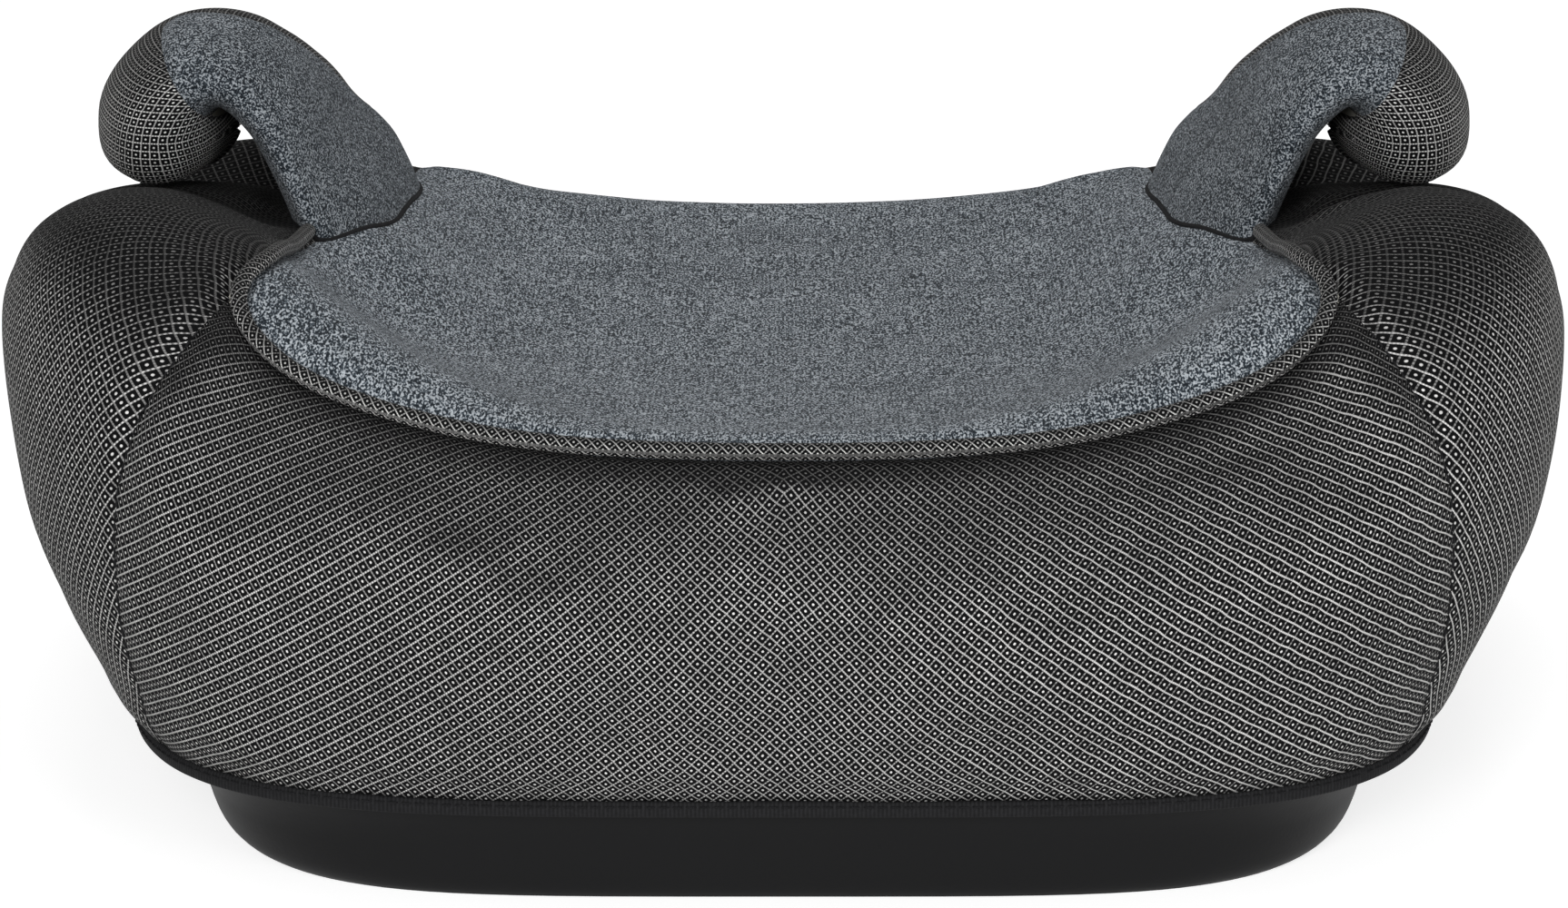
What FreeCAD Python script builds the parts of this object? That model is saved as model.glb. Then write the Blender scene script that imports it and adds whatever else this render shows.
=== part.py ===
import FreeCAD
import Part
import math
import os

# Child's booster seat: a ribbed injection-moulded base shell, foam pads and bolsters, two
# bolted armrest horns that guide the lap belt, and a sewn textile cover with an elastic hem.
# Frame: millimetres, +Z up, front of the seat at -Y, origin under the centre of the seat.

os.makedirs("parts", exist_ok=True)

# ---------------------------------------------------------------- driving dimensions
# Cover, overall form
SEAT_HEIGHT = 112.0          # top of the cover at the middle of the seat
SIDE_HALF_WIDTH = 222.0      # half width of the bolsters
FRONT_REACH = 190.0          # reach of the front roll ahead of the cover centre
REAR_REACH = 184.0           # reach of the rear roll behind the cover centre
COVER_CENTRE_Y = 2.6         # cover centre measured from the origin
RIDGE_HALF_WIDTH = 188.0     # half width at the crest of the bolsters
RIDGE_RISE = 46.0            # crest of the bolsters above the seat
HEM_HEIGHT = 32.0            # lower edge of the cover
HEM_HALF_WIDTH = 184.0
HEM_FRONT_REACH = 182.0
HEM_REAR_REACH = 178.0
HEM_SQUARENESS = 4.2
DISH_HALF_WIDTH = 104.0      # flat middle of the seat
DISH_EDGE_HALF_WIDTH = 132.0
BOLSTER_INNER_HALF_WIDTH = 154.0
REAR_FALL = 76.0             # how far the bolster crest drops towards the rear
COVER_THICKNESS = 3.0        # knit laminated on wadding
SEAT_PAD_THICKNESS = 15.0

# Seams of the cover
CORNER_HALF_WIDTH = 147.0    # widest point of the seat panel, at its front corners
CORNER_Y = -123.0
SEAT_PANEL_FRONT_Y = -163.4
HORN_SEAM_X = 133.0          # seat panel edge where it meets the horn
REAR_PANEL_HALF_WIDTH = 116.0
REAR_SEAM_HEIGHT = 74.0
SIDE_SEAM_X = 179.0          # seam between front panel and side panel
REAR_CORNER_X = 168.0
REAR_PANEL_FRONT_Y = 120.0
PIPING_RADIUS = 2.3
SEAM_CLEARANCE = 0.3
HEM_BAND_WIDTH = 5.0
HEM_BAND_HEIGHT = 4.6
HEM_BAND_WALL = 0.8
ELASTIC_CLEARANCE = 0.25

# Base shell
BASE_HALF_WIDTH = 157.0      # foot print
BASE_FRONT_REACH = 169.0
BASE_REAR_REACH = 162.0
BASE_SQUARENESS = 4.6
CREASE_HEIGHT = 20.0
CREASE_FLARE = 11.0
LIP_FLARE = 18.5
FRONT_FLARE_SHARE = 0.42     # flare at the front and rear against that at the sides
REAR_FLARE_SHARE = 0.5
LIP_DROP = 3.0               # lip of the skirt below the hem of the cover
DECK_EDGE_INSET = 6.0
SHELL_WALL = 3.0
FOOT_RADIUS_HEIGHT = 3.0
FOOT_RADIUS_INSET = 4.0
RIB_PITCH = 41.0
RIB_THICKNESS = 2.0
RIB_COUNT = 8                # ribs each way
RIB_FOOT_HEIGHT = 7.0        # ribs stop this far above the floor
FOAM_CLEARANCE = 0.3

# Horns (armrests)
HORN_X = 131.0               # middle of the root at the seat
HORN_Y = 53.6
HORN_HALF_LENGTH = 71.0
HORN_REACH = 50.0            # from root to lobe, sideways
HORN_RISE = 74.5             # crest of the arch above the seat
LOBE_DROP = 28.5             # tip of the lobe below the crest of the arch
ROOT_HALF_THICKNESS = 11.5
LOBE_HALF_THICKNESS = 19.0
HORN_SKIN = 2.0
HORN_PAD_THICKNESS = 5.0
HORN_FIT = 0.3
FLANGE_THICKNESS = 4.0
FLANGE_WIDTH = 34.0
FLANGE_END_MARGIN = 2.0

# Screws that hold the horns
SCREW_SHANK_DIAMETER = 4.8
SCREW_HEAD_DIAMETER = 9.6
SCREW_HEAD_HEIGHT = 3.4
SCREW_BITE = 22.0            # length held in the horn core
SCREW_CLEARANCE = 0.2
BOSS_DIAMETER = 13.0
BOSS_LENGTH = 12.0

# ---------------------------------------------------------------- values that follow
DECK_HEIGHT = SEAT_HEIGHT - COVER_THICKNESS - SEAT_PAD_THICKNESS - 2 * FOAM_CLEARANCE
LIP_HEIGHT = HEM_HEIGHT - LIP_DROP
RIDGE_HEIGHT = SEAT_HEIGHT + RIDGE_RISE
HORN_FOOT_HEIGHT = DECK_HEIGHT + FLANGE_THICKNESS + HORN_FIT
BELOW = -10.0
ABOVE = SEAT_HEIGHT + 200.0
FAR = 400.0
RING_POINTS = 40
HORN_POINTS = 20
SPREAD = 3.0

# Control rings of the cover from the middle of the seat out to the hem. Each row holds
# half width, front reach, rear reach, squareness in front and behind, height at the
# side, in front and behind, and the fall of the side towards the rear.
COVER_RINGS = [
    (0.0, 0.0, 0.0, 2.0, 2.0, SEAT_HEIGHT, SEAT_HEIGHT, SEAT_HEIGHT, 0.0),
    (60.0, 55.0, 60.0, 2.0, 2.0, SEAT_HEIGHT, SEAT_HEIGHT + 1.5, SEAT_HEIGHT - 0.5, 0.0),
    (DISH_HALF_WIDTH, 108.0, 112.0, 2.2, 2.2, SEAT_HEIGHT + 5, SEAT_HEIGHT + 7, SEAT_HEIGHT - 2, 2.0),
    (DISH_EDGE_HALF_WIDTH, 138.0, 150.0, 2.4, 2.5, RIDGE_HEIGHT - 24, SEAT_HEIGHT + 10, SEAT_HEIGHT - 2, 14.0),
    (BOLSTER_INNER_HALF_WIDTH, 158.0, 168.0, 2.5, 2.7, RIDGE_HEIGHT - 6, SEAT_HEIGHT + 14, SEAT_HEIGHT - 1, 44.0),
    (RIDGE_HALF_WIDTH, FRONT_REACH - 18, REAR_REACH - 7, 2.6, 3.0, RIDGE_HEIGHT, SEAT_HEIGHT + 8, SEAT_HEIGHT - 2, REAR_FALL),
    (SIDE_HALF_WIDTH, FRONT_REACH - 3, REAR_REACH, 2.8, 3.2, RIDGE_HEIGHT - 12, SEAT_HEIGHT - 13, SEAT_HEIGHT - 17, REAR_FALL - 6),
    (SIDE_HALF_WIDTH + 1, FRONT_REACH, REAR_REACH, 3.0, 3.4, HEM_HEIGHT + 76, HEM_HEIGHT + 38, HEM_HEIGHT + 34, 12.0),
    (SIDE_HALF_WIDTH - 10, FRONT_REACH - 2, REAR_REACH - 2, 3.4, 3.6, HEM_HEIGHT * 2, HEM_HEIGHT + 18, HEM_HEIGHT + 16, 0.0),
    (HEM_HALF_WIDTH, HEM_FRONT_REACH, HEM_REAR_REACH, HEM_SQUARENESS, 4.0, HEM_HEIGHT, HEM_HEIGHT, HEM_HEIGHT, 0.0),
]
COVER_STATIONS = [0.05, 0.13, 0.22, 0.31, 0.39, 0.46, 0.53, 0.6, 0.67, 0.74, 0.81, 0.88, 0.94, 1.0]

# Seat panel outline in plan, right half, from the front seam to the rear roll
SEAT_OUTLINE = [
    (0.0, SEAT_PANEL_FRONT_Y),
    (0.27 * CORNER_HALF_WIDTH, SEAT_PANEL_FRONT_Y + 0.9),
    (0.52 * CORNER_HALF_WIDTH, SEAT_PANEL_FRONT_Y + 4.0),
    (0.76 * CORNER_HALF_WIDTH, SEAT_PANEL_FRONT_Y + 11.0),
    (0.93 * CORNER_HALF_WIDTH, SEAT_PANEL_FRONT_Y + 24.0),
    (CORNER_HALF_WIDTH, CORNER_Y),
    (CORNER_HALF_WIDTH - 5.0, CORNER_Y + 25.0),
    (HORN_SEAM_X + 3.0, CORNER_Y + 58.0),
    (HORN_SEAM_X, HORN_Y - HORN_HALF_LENGTH),
    (0.5 * (HORN_SEAM_X + REAR_PANEL_HALF_WIDTH), HORN_Y),
    (REAR_PANEL_HALF_WIDTH, HORN_Y + 1.2 * HORN_HALF_LENGTH),
    (REAR_PANEL_HALF_WIDTH, FAR),
]

# Side seam seen from the front, right half, from the seat corner down to the hem
SIDE_SEAM = [
    (CORNER_HALF_WIDTH - 25.0, RIDGE_HEIGHT + 30.0),
    (CORNER_HALF_WIDTH, RIDGE_HEIGHT),
    (SIDE_SEAM_X - 15.0, RIDGE_HEIGHT - 17.0),
    (SIDE_SEAM_X - 3.0, RIDGE_HEIGHT - 42.0),
    (SIDE_SEAM_X, RIDGE_HEIGHT - 64.0),
    (SIDE_SEAM_X - 1.0, HEM_HEIGHT + 34.0),
    (SIDE_SEAM_X - 9.0, HEM_HEIGHT + 4.0),
    (SIDE_SEAM_X - 20.0, HEM_HEIGHT - 20.0),
]

# Horn centreline from the deck up over the arch and down to the tip of the lobe. Each
# row holds x, z, half thickness, y of the middle and half length of the section.
HORN_CREST = SEAT_HEIGHT + HORN_RISE
LOBE_X = HORN_X + HORN_REACH
HORN_STATIONS = [
    (HORN_X - 4.0, HORN_FOOT_HEIGHT, ROOT_HALF_THICKNESS + 6.5, HORN_Y + 1.0, HORN_HALF_LENGTH + 1.0),
    (HORN_X - 4.0, HORN_FOOT_HEIGHT + 18.0, ROOT_HALF_THICKNESS + 6.5, HORN_Y + 1.0, HORN_HALF_LENGTH + 1.0),
    (HORN_X, SEAT_HEIGHT + 26.0, ROOT_HALF_THICKNESS + 3.5, HORN_Y, HORN_HALF_LENGTH),
    (HORN_X + 8.5, HORN_CREST - 28.5, ROOT_HALF_THICKNESS, HORN_Y - 6.0, HORN_HALF_LENGTH - 5.0),
    (HORN_X + 17.5, HORN_CREST - 10.5, ROOT_HALF_THICKNESS + 0.7, HORN_Y - 13.0, HORN_HALF_LENGTH - 13.0),
    (LOBE_X - 21.0, HORN_CREST, ROOT_HALF_THICKNESS + 1.9, HORN_Y - 19.0, HORN_HALF_LENGTH - 19.0),
    (LOBE_X - 8.5, HORN_CREST - 1.0, LOBE_HALF_THICKNESS - 2.5, HORN_Y - 25.0, HORN_HALF_LENGTH - 24.0),
    (LOBE_X - 0.5, HORN_CREST - 13.0, LOBE_HALF_THICKNESS + 0.5, HORN_Y - 28.0, HORN_HALF_LENGTH - 26.0),
    (LOBE_X, HORN_CREST - LOBE_DROP, LOBE_HALF_THICKNESS, HORN_Y - 25.0, HORN_HALF_LENGTH - 31.0),
]
HORN_CUTS = [0.0, 0.09, 0.19, 0.29, 0.39, 0.49, 0.59, 0.69, 0.78, 0.86, 0.92, 0.96, 0.985, 0.997]
TIP_START = 0.86              # where the lobe begins to round off
TIP_STEP = 0.008              # share of the centreline per millimetre, near the tip


def spow(value, power):
    return math.copysign(abs(value) ** power, value)


def cover_ring(row, angle):
    """Point of one control ring of the cover."""
    half, front, rear, n_front, n_rear, z_side, z_front, z_rear, fall = row
    cc = abs(math.cos(angle)) ** SPREAD
    ss = abs(math.sin(angle)) ** SPREAD
    c = math.copysign(math.sqrt(cc / (cc + ss)), math.cos(angle))
    s = math.copysign(math.sqrt(ss / (cc + ss)), math.sin(angle))
    ahead = s < 0
    n = n_front if ahead else n_rear
    reach = front if ahead else rear
    x = half * spow(c, 2 / n)
    y = COVER_CENTRE_Y + reach * spow(s, 2 / n)
    side_share = c * c / (c * c + (1.0 if ahead else 0.6) * s * s)
    z_end = z_front if ahead else z_rear
    z = z_side * side_share + z_end * (1 - side_share) - fall * s * abs(c) ** 3.2
    return x, y, z


def knot_weights(t, knots, count):
    """Weights of the cubic spline poles at t; knots are clamped at both ends."""
    degree = 3
    t = min(max(t, knots[0]), knots[-1] - 1e-9)
    weights = [1.0 if knots[i] <= t < knots[i + 1] else 0.0 for i in range(len(knots) - 1)]
    for d in range(1, degree + 1):
        raised = []
        for i in range(len(knots) - 1 - d):
            left = knots[i + d] - knots[i]
            right = knots[i + d + 1] - knots[i + 1]
            w = 0.0
            if left > 0:
                w += (t - knots[i]) / left * weights[i]
            if right > 0:
                w += (knots[i + d + 1] - t) / right * weights[i + 1]
            raised.append(w)
        weights = raised
    return weights[:count]


def spline_weights(t, count):
    """Weights of a clamped uniform cubic spline with the given number of control rings."""
    spans = count - 3
    knots = [0.0] * 3 + [i / spans for i in range(spans + 1)] + [1.0] * 3
    return knot_weights(t, knots, count)


def cover_point(angle, t):
    """Point of the cover surface: angle round the seat, t from its middle to the hem."""
    weights = spline_weights(t, len(COVER_RINGS))
    total = FreeCAD.Vector(0, 0, 0)
    for w, row in zip(weights, COVER_RINGS):
        if w > 0:
            total += FreeCAD.Vector(*cover_ring(row, angle)) * w
    return total


def cover_normal(angle, t):
    da = 0.02
    dt = 0.004
    around = cover_point(angle + da, t) - cover_point(angle - da, t)
    outward = cover_point(angle, min(t + dt, 1.0)) - cover_point(angle, max(t - dt, 0.0))
    normal = outward.cross(around)
    normal.normalize()
    return normal


def ring_poles(points):
    """Poles of the uniform periodic cubic spline through a closed row of points."""
    count = len(points)
    decay = math.sqrt(3) - 2
    reach = min(count // 2, 14)
    weights = [math.sqrt(3) * decay ** k for k in range(reach + 1)]
    poles = []
    for i in range(count):
        pole = points[i] * weights[0]
        for k in range(1, reach + 1):
            pole += (points[(i + k) % count] + points[(i - k) % count]) * weights[k]
        poles.append(pole)
    return poles


def closed_curve(points):
    poles = ring_poles(points)
    count = len(poles)
    curve = Part.BSplineCurve()
    curve.buildFromPolesMultsKnots(poles, [1] * (count + 1), list(range(count + 1)), True, 3)
    return Part.Wire([curve.toShape()])


def row_poles(points):
    """Poles of the uniform clamped cubic spline through an open row of points."""
    last = len(points) - 1
    size = last + 3
    knots = [0.0] * 3 + list(range(last + 1)) + [float(last)] * 3
    matrix = []
    for i in range(last + 1):
        matrix.append(knot_weights(float(i), knots, size))
    matrix.insert(1, [6.0, -9.0, 3.0] + [0.0] * (size - 3))
    matrix.insert(size - 2, [0.0] * (size - 3) + [3.0, -9.0, 6.0])
    sides = [points[0], FreeCAD.Vector(0, 0, 0)] + points[1:-1] + [FreeCAD.Vector(0, 0, 0), points[-1]]
    matrix = [row[:] for row in matrix]
    sides = [FreeCAD.Vector(p) for p in sides]
    for i in range(size):
        pivot = max(range(i, size), key=lambda r: abs(matrix[r][i]))
        matrix[i], matrix[pivot] = matrix[pivot], matrix[i]
        sides[i], sides[pivot] = sides[pivot], sides[i]
        for r in range(i + 1, size):
            share = matrix[r][i] / matrix[i][i]
            if share:
                matrix[r] = [q - share * p for p, q in zip(matrix[i], matrix[r])]
                sides[r] = sides[r] - sides[i] * share
    poles = [FreeCAD.Vector(0, 0, 0)] * size
    for i in reversed(range(size)):
        total = FreeCAD.Vector(sides[i])
        for k in range(i + 1, size):
            total -= poles[k] * matrix[i][k]
        poles[i] = total * (1 / matrix[i][i])
    return poles


def loft(rings):
    """Closed solid with a smooth side through a row of rings; the end rings are flat."""
    columns = [ring_poles(ring) for ring in rings]
    count = len(columns[0])
    net = [row_poles([column[i] for column in columns]) for i in range(count)]
    last = len(rings) - 1
    side = Part.BSplineSurface()
    side.buildFromPolesMultsKnots(net, [1] * (count + 1), [4] + [1] * (last - 1) + [4],
                                  list(range(count + 1)), list(range(last + 1)), True, False, 3, 3)
    wall = side.toShape()
    ends = []
    for row in (0, last):
        rim = side.vIso(row).toShape()
        ends.append(Part.Face(Part.Wire([rim])))
    shell = Part.Shell([wall] + ends)
    shell.sewShape()
    solid = Part.Solid(shell)
    if solid.Volume < 0:
        solid.reverse()
    return solid


def open_curve(points):
    curve = Part.BSplineCurve()
    curve.interpolate(Points=points)
    return curve.toShape()


def cover_body(depth, hem_drop=0.0):
    """Solid under the cover surface, a given depth inside it."""
    rings = []
    for t in COVER_STATIONS:
        points = []
        for i in range(RING_POINTS):
            angle = 2 * math.pi * i / RING_POINTS
            normal = cover_normal(angle, t)
            if t == COVER_STATIONS[-1]:
                normal.z = 0.0
                normal.normalize()
            point = cover_point(angle, t) - normal * depth
            points.append(point)
        if t == COVER_STATIONS[0]:
            level = sum(p.z for p in points) / len(points)
            points = [FreeCAD.Vector(p.x, p.y, level) for p in points]
        if t == COVER_STATIONS[-1]:
            points = [FreeCAD.Vector(p.x, p.y, HEM_HEIGHT - hem_drop) for p in points]
        rings.append(points)
    return loft(rings)


def box(x0, x1, y0, y1, z0, z1):
    return Part.makeBox(x1 - x0, y1 - y0, z1 - z0, FreeCAD.Vector(x0, y0, z0))


def mirrored(shape):
    return shape.mirror(FreeCAD.Vector(0, 0, 0), FreeCAD.Vector(1, 0, 0))


def squircle(half, front, rear, squareness, z):
    """Level ring of the base shell."""
    points = []
    for i in range(RING_POINTS):
        angle = 2 * math.pi * i / RING_POINTS
        cc = abs(math.cos(angle)) ** squareness
        ss = abs(math.sin(angle)) ** squareness
        share = (cc + ss) ** (-1 / squareness)
        x = half * share * math.cos(angle)
        reach = front if math.sin(angle) < 0 else rear
        y = COVER_CENTRE_Y + reach * share * math.sin(angle)
        points.append(FreeCAD.Vector(x, y, z))
    return points


def shell_form(grow, floor):
    """Outer form of the base shell, grown or shrunk evenly; floor is its lowest level."""
    rows = [
        (floor, -FOOT_RADIUS_INSET),
        (max(FOOT_RADIUS_HEIGHT, floor + 1), 0.0),
        (CREASE_HEIGHT / 2, 0.45 * CREASE_FLARE - FOOT_RADIUS_INSET / 2),
        (CREASE_HEIGHT, CREASE_FLARE - FOOT_RADIUS_INSET),
        (LIP_HEIGHT, LIP_FLARE - FOOT_RADIUS_INSET),
        (LIP_HEIGHT + 10, LIP_FLARE - FOOT_RADIUS_INSET - 1),
        (0.5 * (LIP_HEIGHT + DECK_HEIGHT) + 8, LIP_FLARE - FOOT_RADIUS_INSET - 5),
        (DECK_HEIGHT - DECK_EDGE_INSET + grow, LIP_FLARE - FOOT_RADIUS_INSET - 9),
        (DECK_HEIGHT + grow, LIP_FLARE - FOOT_RADIUS_INSET - 9 - DECK_EDGE_INSET),
    ]
    rings = []
    for z, flare in rows:
        rings.append(squircle(
            BASE_HALF_WIDTH + FOOT_RADIUS_INSET + flare + grow,
            BASE_FRONT_REACH + FRONT_FLARE_SHARE * (FOOT_RADIUS_INSET + flare) + grow,
            BASE_REAR_REACH + REAR_FLARE_SHARE * (FOOT_RADIUS_INSET + flare) + grow,
            BASE_SQUARENESS, z))
    return loft(rings)


# ---------------------------------------------------------------- horns
def horn_row(s):
    """Station values along the horn centreline, smoothly interpolated."""
    last = len(HORN_STATIONS) - 1
    place = min(max(s, 0.0), 1.0) * last
    i = min(int(place), last - 1)
    u = place - i
    before = HORN_STATIONS[i - 1] if i > 0 else None
    after = HORN_STATIONS[i + 2] if i + 2 <= last else None
    row = []
    for k in range(5):
        p1 = HORN_STATIONS[i][k]
        p2 = HORN_STATIONS[i + 1][k]
        p0 = before[k] if before else 2 * p1 - p2
        p3 = after[k] if after else 2 * p2 - p1
        row.append(0.5 * (2 * p1 + (p2 - p0) * u + (2 * p0 - 5 * p1 + 4 * p2 - p3) * u ** 2
                          + (3 * p1 - p0 - 3 * p2 + p3) * u ** 3))
    return row


def horn_point(s, psi, inset, flat=False):
    """Point of the right horn: psi 0 faces the seat, -90 degrees the front, 180 the belt gap."""
    x, z, half, middle, length = horn_row(s)
    ahead = horn_row(s + 0.002)
    behind = horn_row(s - 0.002)
    tx = ahead[0] - behind[0]
    tz = ahead[1] - behind[1]
    size = math.hypot(tx, tz)
    nx = -tz / size
    nz = tx / size
    u = min(max((s - TIP_START + TIP_STEP * inset) / (1 - TIP_START), 0.0), 1.0)
    tip = math.sqrt(max(1 - u ** 2.6, 0.0))
    half = max(half - inset, 1.0) * tip
    length = (length - inset) * (0.55 + 0.45 * tip)
    sine = math.sin(psi)
    fade = min(max((s - 0.39) / 0.35, 0.0), 1.0)
    side = half * (1 + (0.4 - 0.25 * fade) * sine) * spow(math.cos(psi), 2 / 2.3)
    along = length * spow(sine, 2 / 2.6)
    lean = 0.3 * min(max((s - 0.34) / 0.26, 0.0), 1.0)
    sag = lean * (along + math.sqrt(along * along + 400) - 20) / 2
    if flat:
        sag = 0.5 * lean * along
    return FreeCAD.Vector(x + nx * side, middle + along, z + nz * side - sag)


def horn_body(inset):
    """Right horn as a solid, a given depth inside its cover."""
    rings = []
    for cut in HORN_CUTS:
        s = cut * (1 - TIP_STEP * inset)
        flat = cut == HORN_CUTS[-1]
        points = []
        for i in range(HORN_POINTS):
            points.append(horn_point(s, 2 * math.pi * i / HORN_POINTS, inset, flat))
        rings.append(points)
    return loft(rings)


def prism(wire, direction):
    return Part.Face(wire).extrude(direction)


# ---------------------------------------------------------------- base shell
shell_outer = shell_form(0.0, 0.0)
shell_inner = shell_form(-SHELL_WALL, -SHELL_WALL)
base_shell = shell_outer.cut(shell_inner)

rib_rows = [HORN_Y + (k + 3.5 - RIB_COUNT) * RIB_PITCH for k in range(RIB_COUNT)]
rib_columns = [(k + 0.5 - RIB_COUNT / 2) * RIB_PITCH for k in range(RIB_COUNT)]
plates = []
for y in rib_rows:
    plates.append(box(-FAR, FAR, y - RIB_THICKNESS / 2, y + RIB_THICKNESS / 2, RIB_FOOT_HEIGHT, DECK_HEIGHT))
for x in rib_columns:
    plates.append(box(x - RIB_THICKNESS / 2, x + RIB_THICKNESS / 2, -FAR, FAR, RIB_FOOT_HEIGHT, DECK_HEIGHT))
grid = plates[0].fuse(plates[1:])

screw_x = HORN_STATIONS[0][0]
screw_rows = [HORN_Y + k * RIB_PITCH for k in (-1, 0, 1)]
boss_foot = DECK_HEIGHT - SHELL_WALL - BOSS_LENGTH
bosses = []
bores = []
for side in (-1, 1):
    for y in screw_rows:
        place = FreeCAD.Vector(side * screw_x, y, boss_foot)
        bosses.append(Part.makeCylinder(BOSS_DIAMETER / 2, BOSS_LENGTH + SHELL_WALL / 2, place))
        bores.append(Part.makeCylinder(SCREW_SHANK_DIAMETER / 2 + SCREW_CLEARANCE,
                                       BOSS_LENGTH + 3 * SHELL_WALL, place - FreeCAD.Vector(0, 0, SHELL_WALL)))
inner_works = grid.common(shell_form(-SHELL_WALL / 2, -SHELL_WALL))
base_shell = base_shell.fuse([inner_works] + bosses).cut(Part.makeCompound(bores))

# ---------------------------------------------------------------- horn cores and screws
core_inset = HORN_SKIN + HORN_PAD_THICKNESS + 2 * HORN_FIT
core = horn_body(core_inset)
foot_points = [horn_point(0.0, 2 * math.pi * i / HORN_POINTS, core_inset) for i in range(HORN_POINTS)]
foot = prism(closed_curve(foot_points), FreeCAD.Vector(0, 0, -HORN_FIT - FLANGE_THICKNESS / 2))
flange_half = HORN_HALF_LENGTH - FLANGE_END_MARGIN
flange_middle = HORN_STATIONS[0][3]
flange = box(screw_x - FLANGE_WIDTH / 2, screw_x + FLANGE_WIDTH / 2,
             flange_middle - flange_half, flange_middle + flange_half,
             DECK_HEIGHT, DECK_HEIGHT + FLANGE_THICKNESS)
flange = flange.makeFillet(FLANGE_WIDTH / 4, [e for e in flange.Edges if abs(e.Vertexes[0].Z - e.Vertexes[-1].Z) > 1])
horn_core = core.fuse([foot, flange])
pilots = []
screws = []
for y in screw_rows:
    seat = FreeCAD.Vector(screw_x, y, boss_foot)
    shank_length = DECK_HEIGHT - boss_foot + SCREW_BITE
    shank = Part.makeCylinder(SCREW_SHANK_DIAMETER / 2, shank_length, seat)
    tip = Part.makeCone(SCREW_SHANK_DIAMETER / 2, 0.3, SCREW_SHANK_DIAMETER / 2,
                        seat + FreeCAD.Vector(0, 0, shank_length))
    head = Part.makeCylinder(SCREW_HEAD_DIAMETER / 2, SCREW_HEAD_HEIGHT, seat - FreeCAD.Vector(0, 0, SCREW_HEAD_HEIGHT))
    head = head.makeFillet(SCREW_HEAD_HEIGHT / 3, [head.Edges[2]] if head.Edges[2].Vertexes[0].Z < seat.z - 1 else [head.Edges[0]])
    screws.append(head.fuse([shank, tip]))
    pilots.append(Part.makeCylinder(SCREW_SHANK_DIAMETER / 2 + SCREW_CLEARANCE / 2,
                                    SCREW_BITE + SCREW_SHANK_DIAMETER,
                                    FreeCAD.Vector(screw_x, y, DECK_HEIGHT)))
horn_core = horn_core.cut(Part.makeCompound(pilots))

# ---------------------------------------------------------------- foams
cavity = cover_body(COVER_THICKNESS + FOAM_CLEARANCE, 2.0)
foam_floor = HEM_HEIGHT + 4.0
foam = cavity.cut(shell_form(FOAM_CLEARANCE, BELOW))
foam = foam.cut(box(-FAR, FAR, -FAR, FAR, BELOW, foam_floor))
horn_hole = horn_body(HORN_SKIN)
flange_pocket = box(screw_x - FLANGE_WIDTH / 2 - FOAM_CLEARANCE, screw_x + FLANGE_WIDTH / 2 + FOAM_CLEARANCE,
                    flange_middle - flange_half - FOAM_CLEARANCE, flange_middle + flange_half + FOAM_CLEARANCE,
                    DECK_HEIGHT - 1, HORN_FOOT_HEIGHT + FOAM_CLEARANCE)
for cutter in (horn_hole, mirrored(horn_hole), flange_pocket, mirrored(flange_pocket)):
    foam = foam.cut(cutter)

FOAM_SEAT_HALF_WIDTH = 100.0
FOAM_FRONT_Y = -118.0
FOAM_REAR_Y = 128.0
FOAM_END_HALF_WIDTH = 148.0
gap = FOAM_CLEARANCE
seat_foam = foam.common(box(-FOAM_SEAT_HALF_WIDTH, FOAM_SEAT_HALF_WIDTH, FOAM_FRONT_Y, FOAM_REAR_Y, 0, ABOVE))
front_foam = foam.common(box(-FOAM_END_HALF_WIDTH, FOAM_END_HALF_WIDTH, -FAR, FOAM_FRONT_Y - gap, 0, ABOVE))
rear_foam = foam.common(box(-FOAM_END_HALF_WIDTH, FOAM_END_HALF_WIDTH, FOAM_REAR_Y + gap, FAR, 0, ABOVE))
side_foam = foam.common(box(FOAM_SEAT_HALF_WIDTH + gap, FAR, -FAR, FAR, 0, ABOVE))
side_foam = side_foam.cut(box(0, FOAM_END_HALF_WIDTH + gap, -FAR, FOAM_FRONT_Y, 0, ABOVE))
side_foam = side_foam.cut(box(0, FOAM_END_HALF_WIDTH + gap, FOAM_REAR_Y, FAR, 0, ABOVE))

horn_foam = horn_body(HORN_SKIN + HORN_FIT).cut(horn_body(core_inset - HORN_FIT))

# ---------------------------------------------------------------- sewn cover
cover_outer = cover_body(0.0)
skin = cover_outer.cut(cover_body(COVER_THICKNESS, 2.0))
skin = skin.cut(horn_hole).cut(mirrored(horn_hole))

right = [FreeCAD.Vector(x, y, 0) for x, y in SEAT_OUTLINE]
left = [FreeCAD.Vector(-x, y, 0) for x, y in reversed(SEAT_OUTLINE[1:])]
seam_edge = open_curve(left + right)
back_edge = Part.makeLine(right[-1], left[0])
seat_prism = prism(Part.Wire([seam_edge, back_edge]), FreeCAD.Vector(0, 0, ABOVE))
seat_prism = seat_prism.cut(box(-FAR, FAR, 0, 2 * FAR, BELOW, REAR_SEAM_HEIGHT))
seat_panel = skin.common(seat_prism)
rest = skin.cut(seat_prism)

seam_right = [FreeCAD.Vector(x, -FAR, z) for x, z in SIDE_SEAM]
seam_left = [FreeCAD.Vector(-x, -FAR, z) for x, z in reversed(SIDE_SEAM)]
front_outline = Part.Wire([
    open_curve(seam_right),
    Part.makeLine(seam_right[-1], seam_left[0]),
    open_curve(seam_left),
    Part.makeLine(seam_left[-1], seam_right[0])])
front_prism = prism(front_outline, FreeCAD.Vector(0, FAR + CORNER_Y, 0))
front_panel = rest.common(front_prism)
rest = rest.cut(front_prism)

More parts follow.
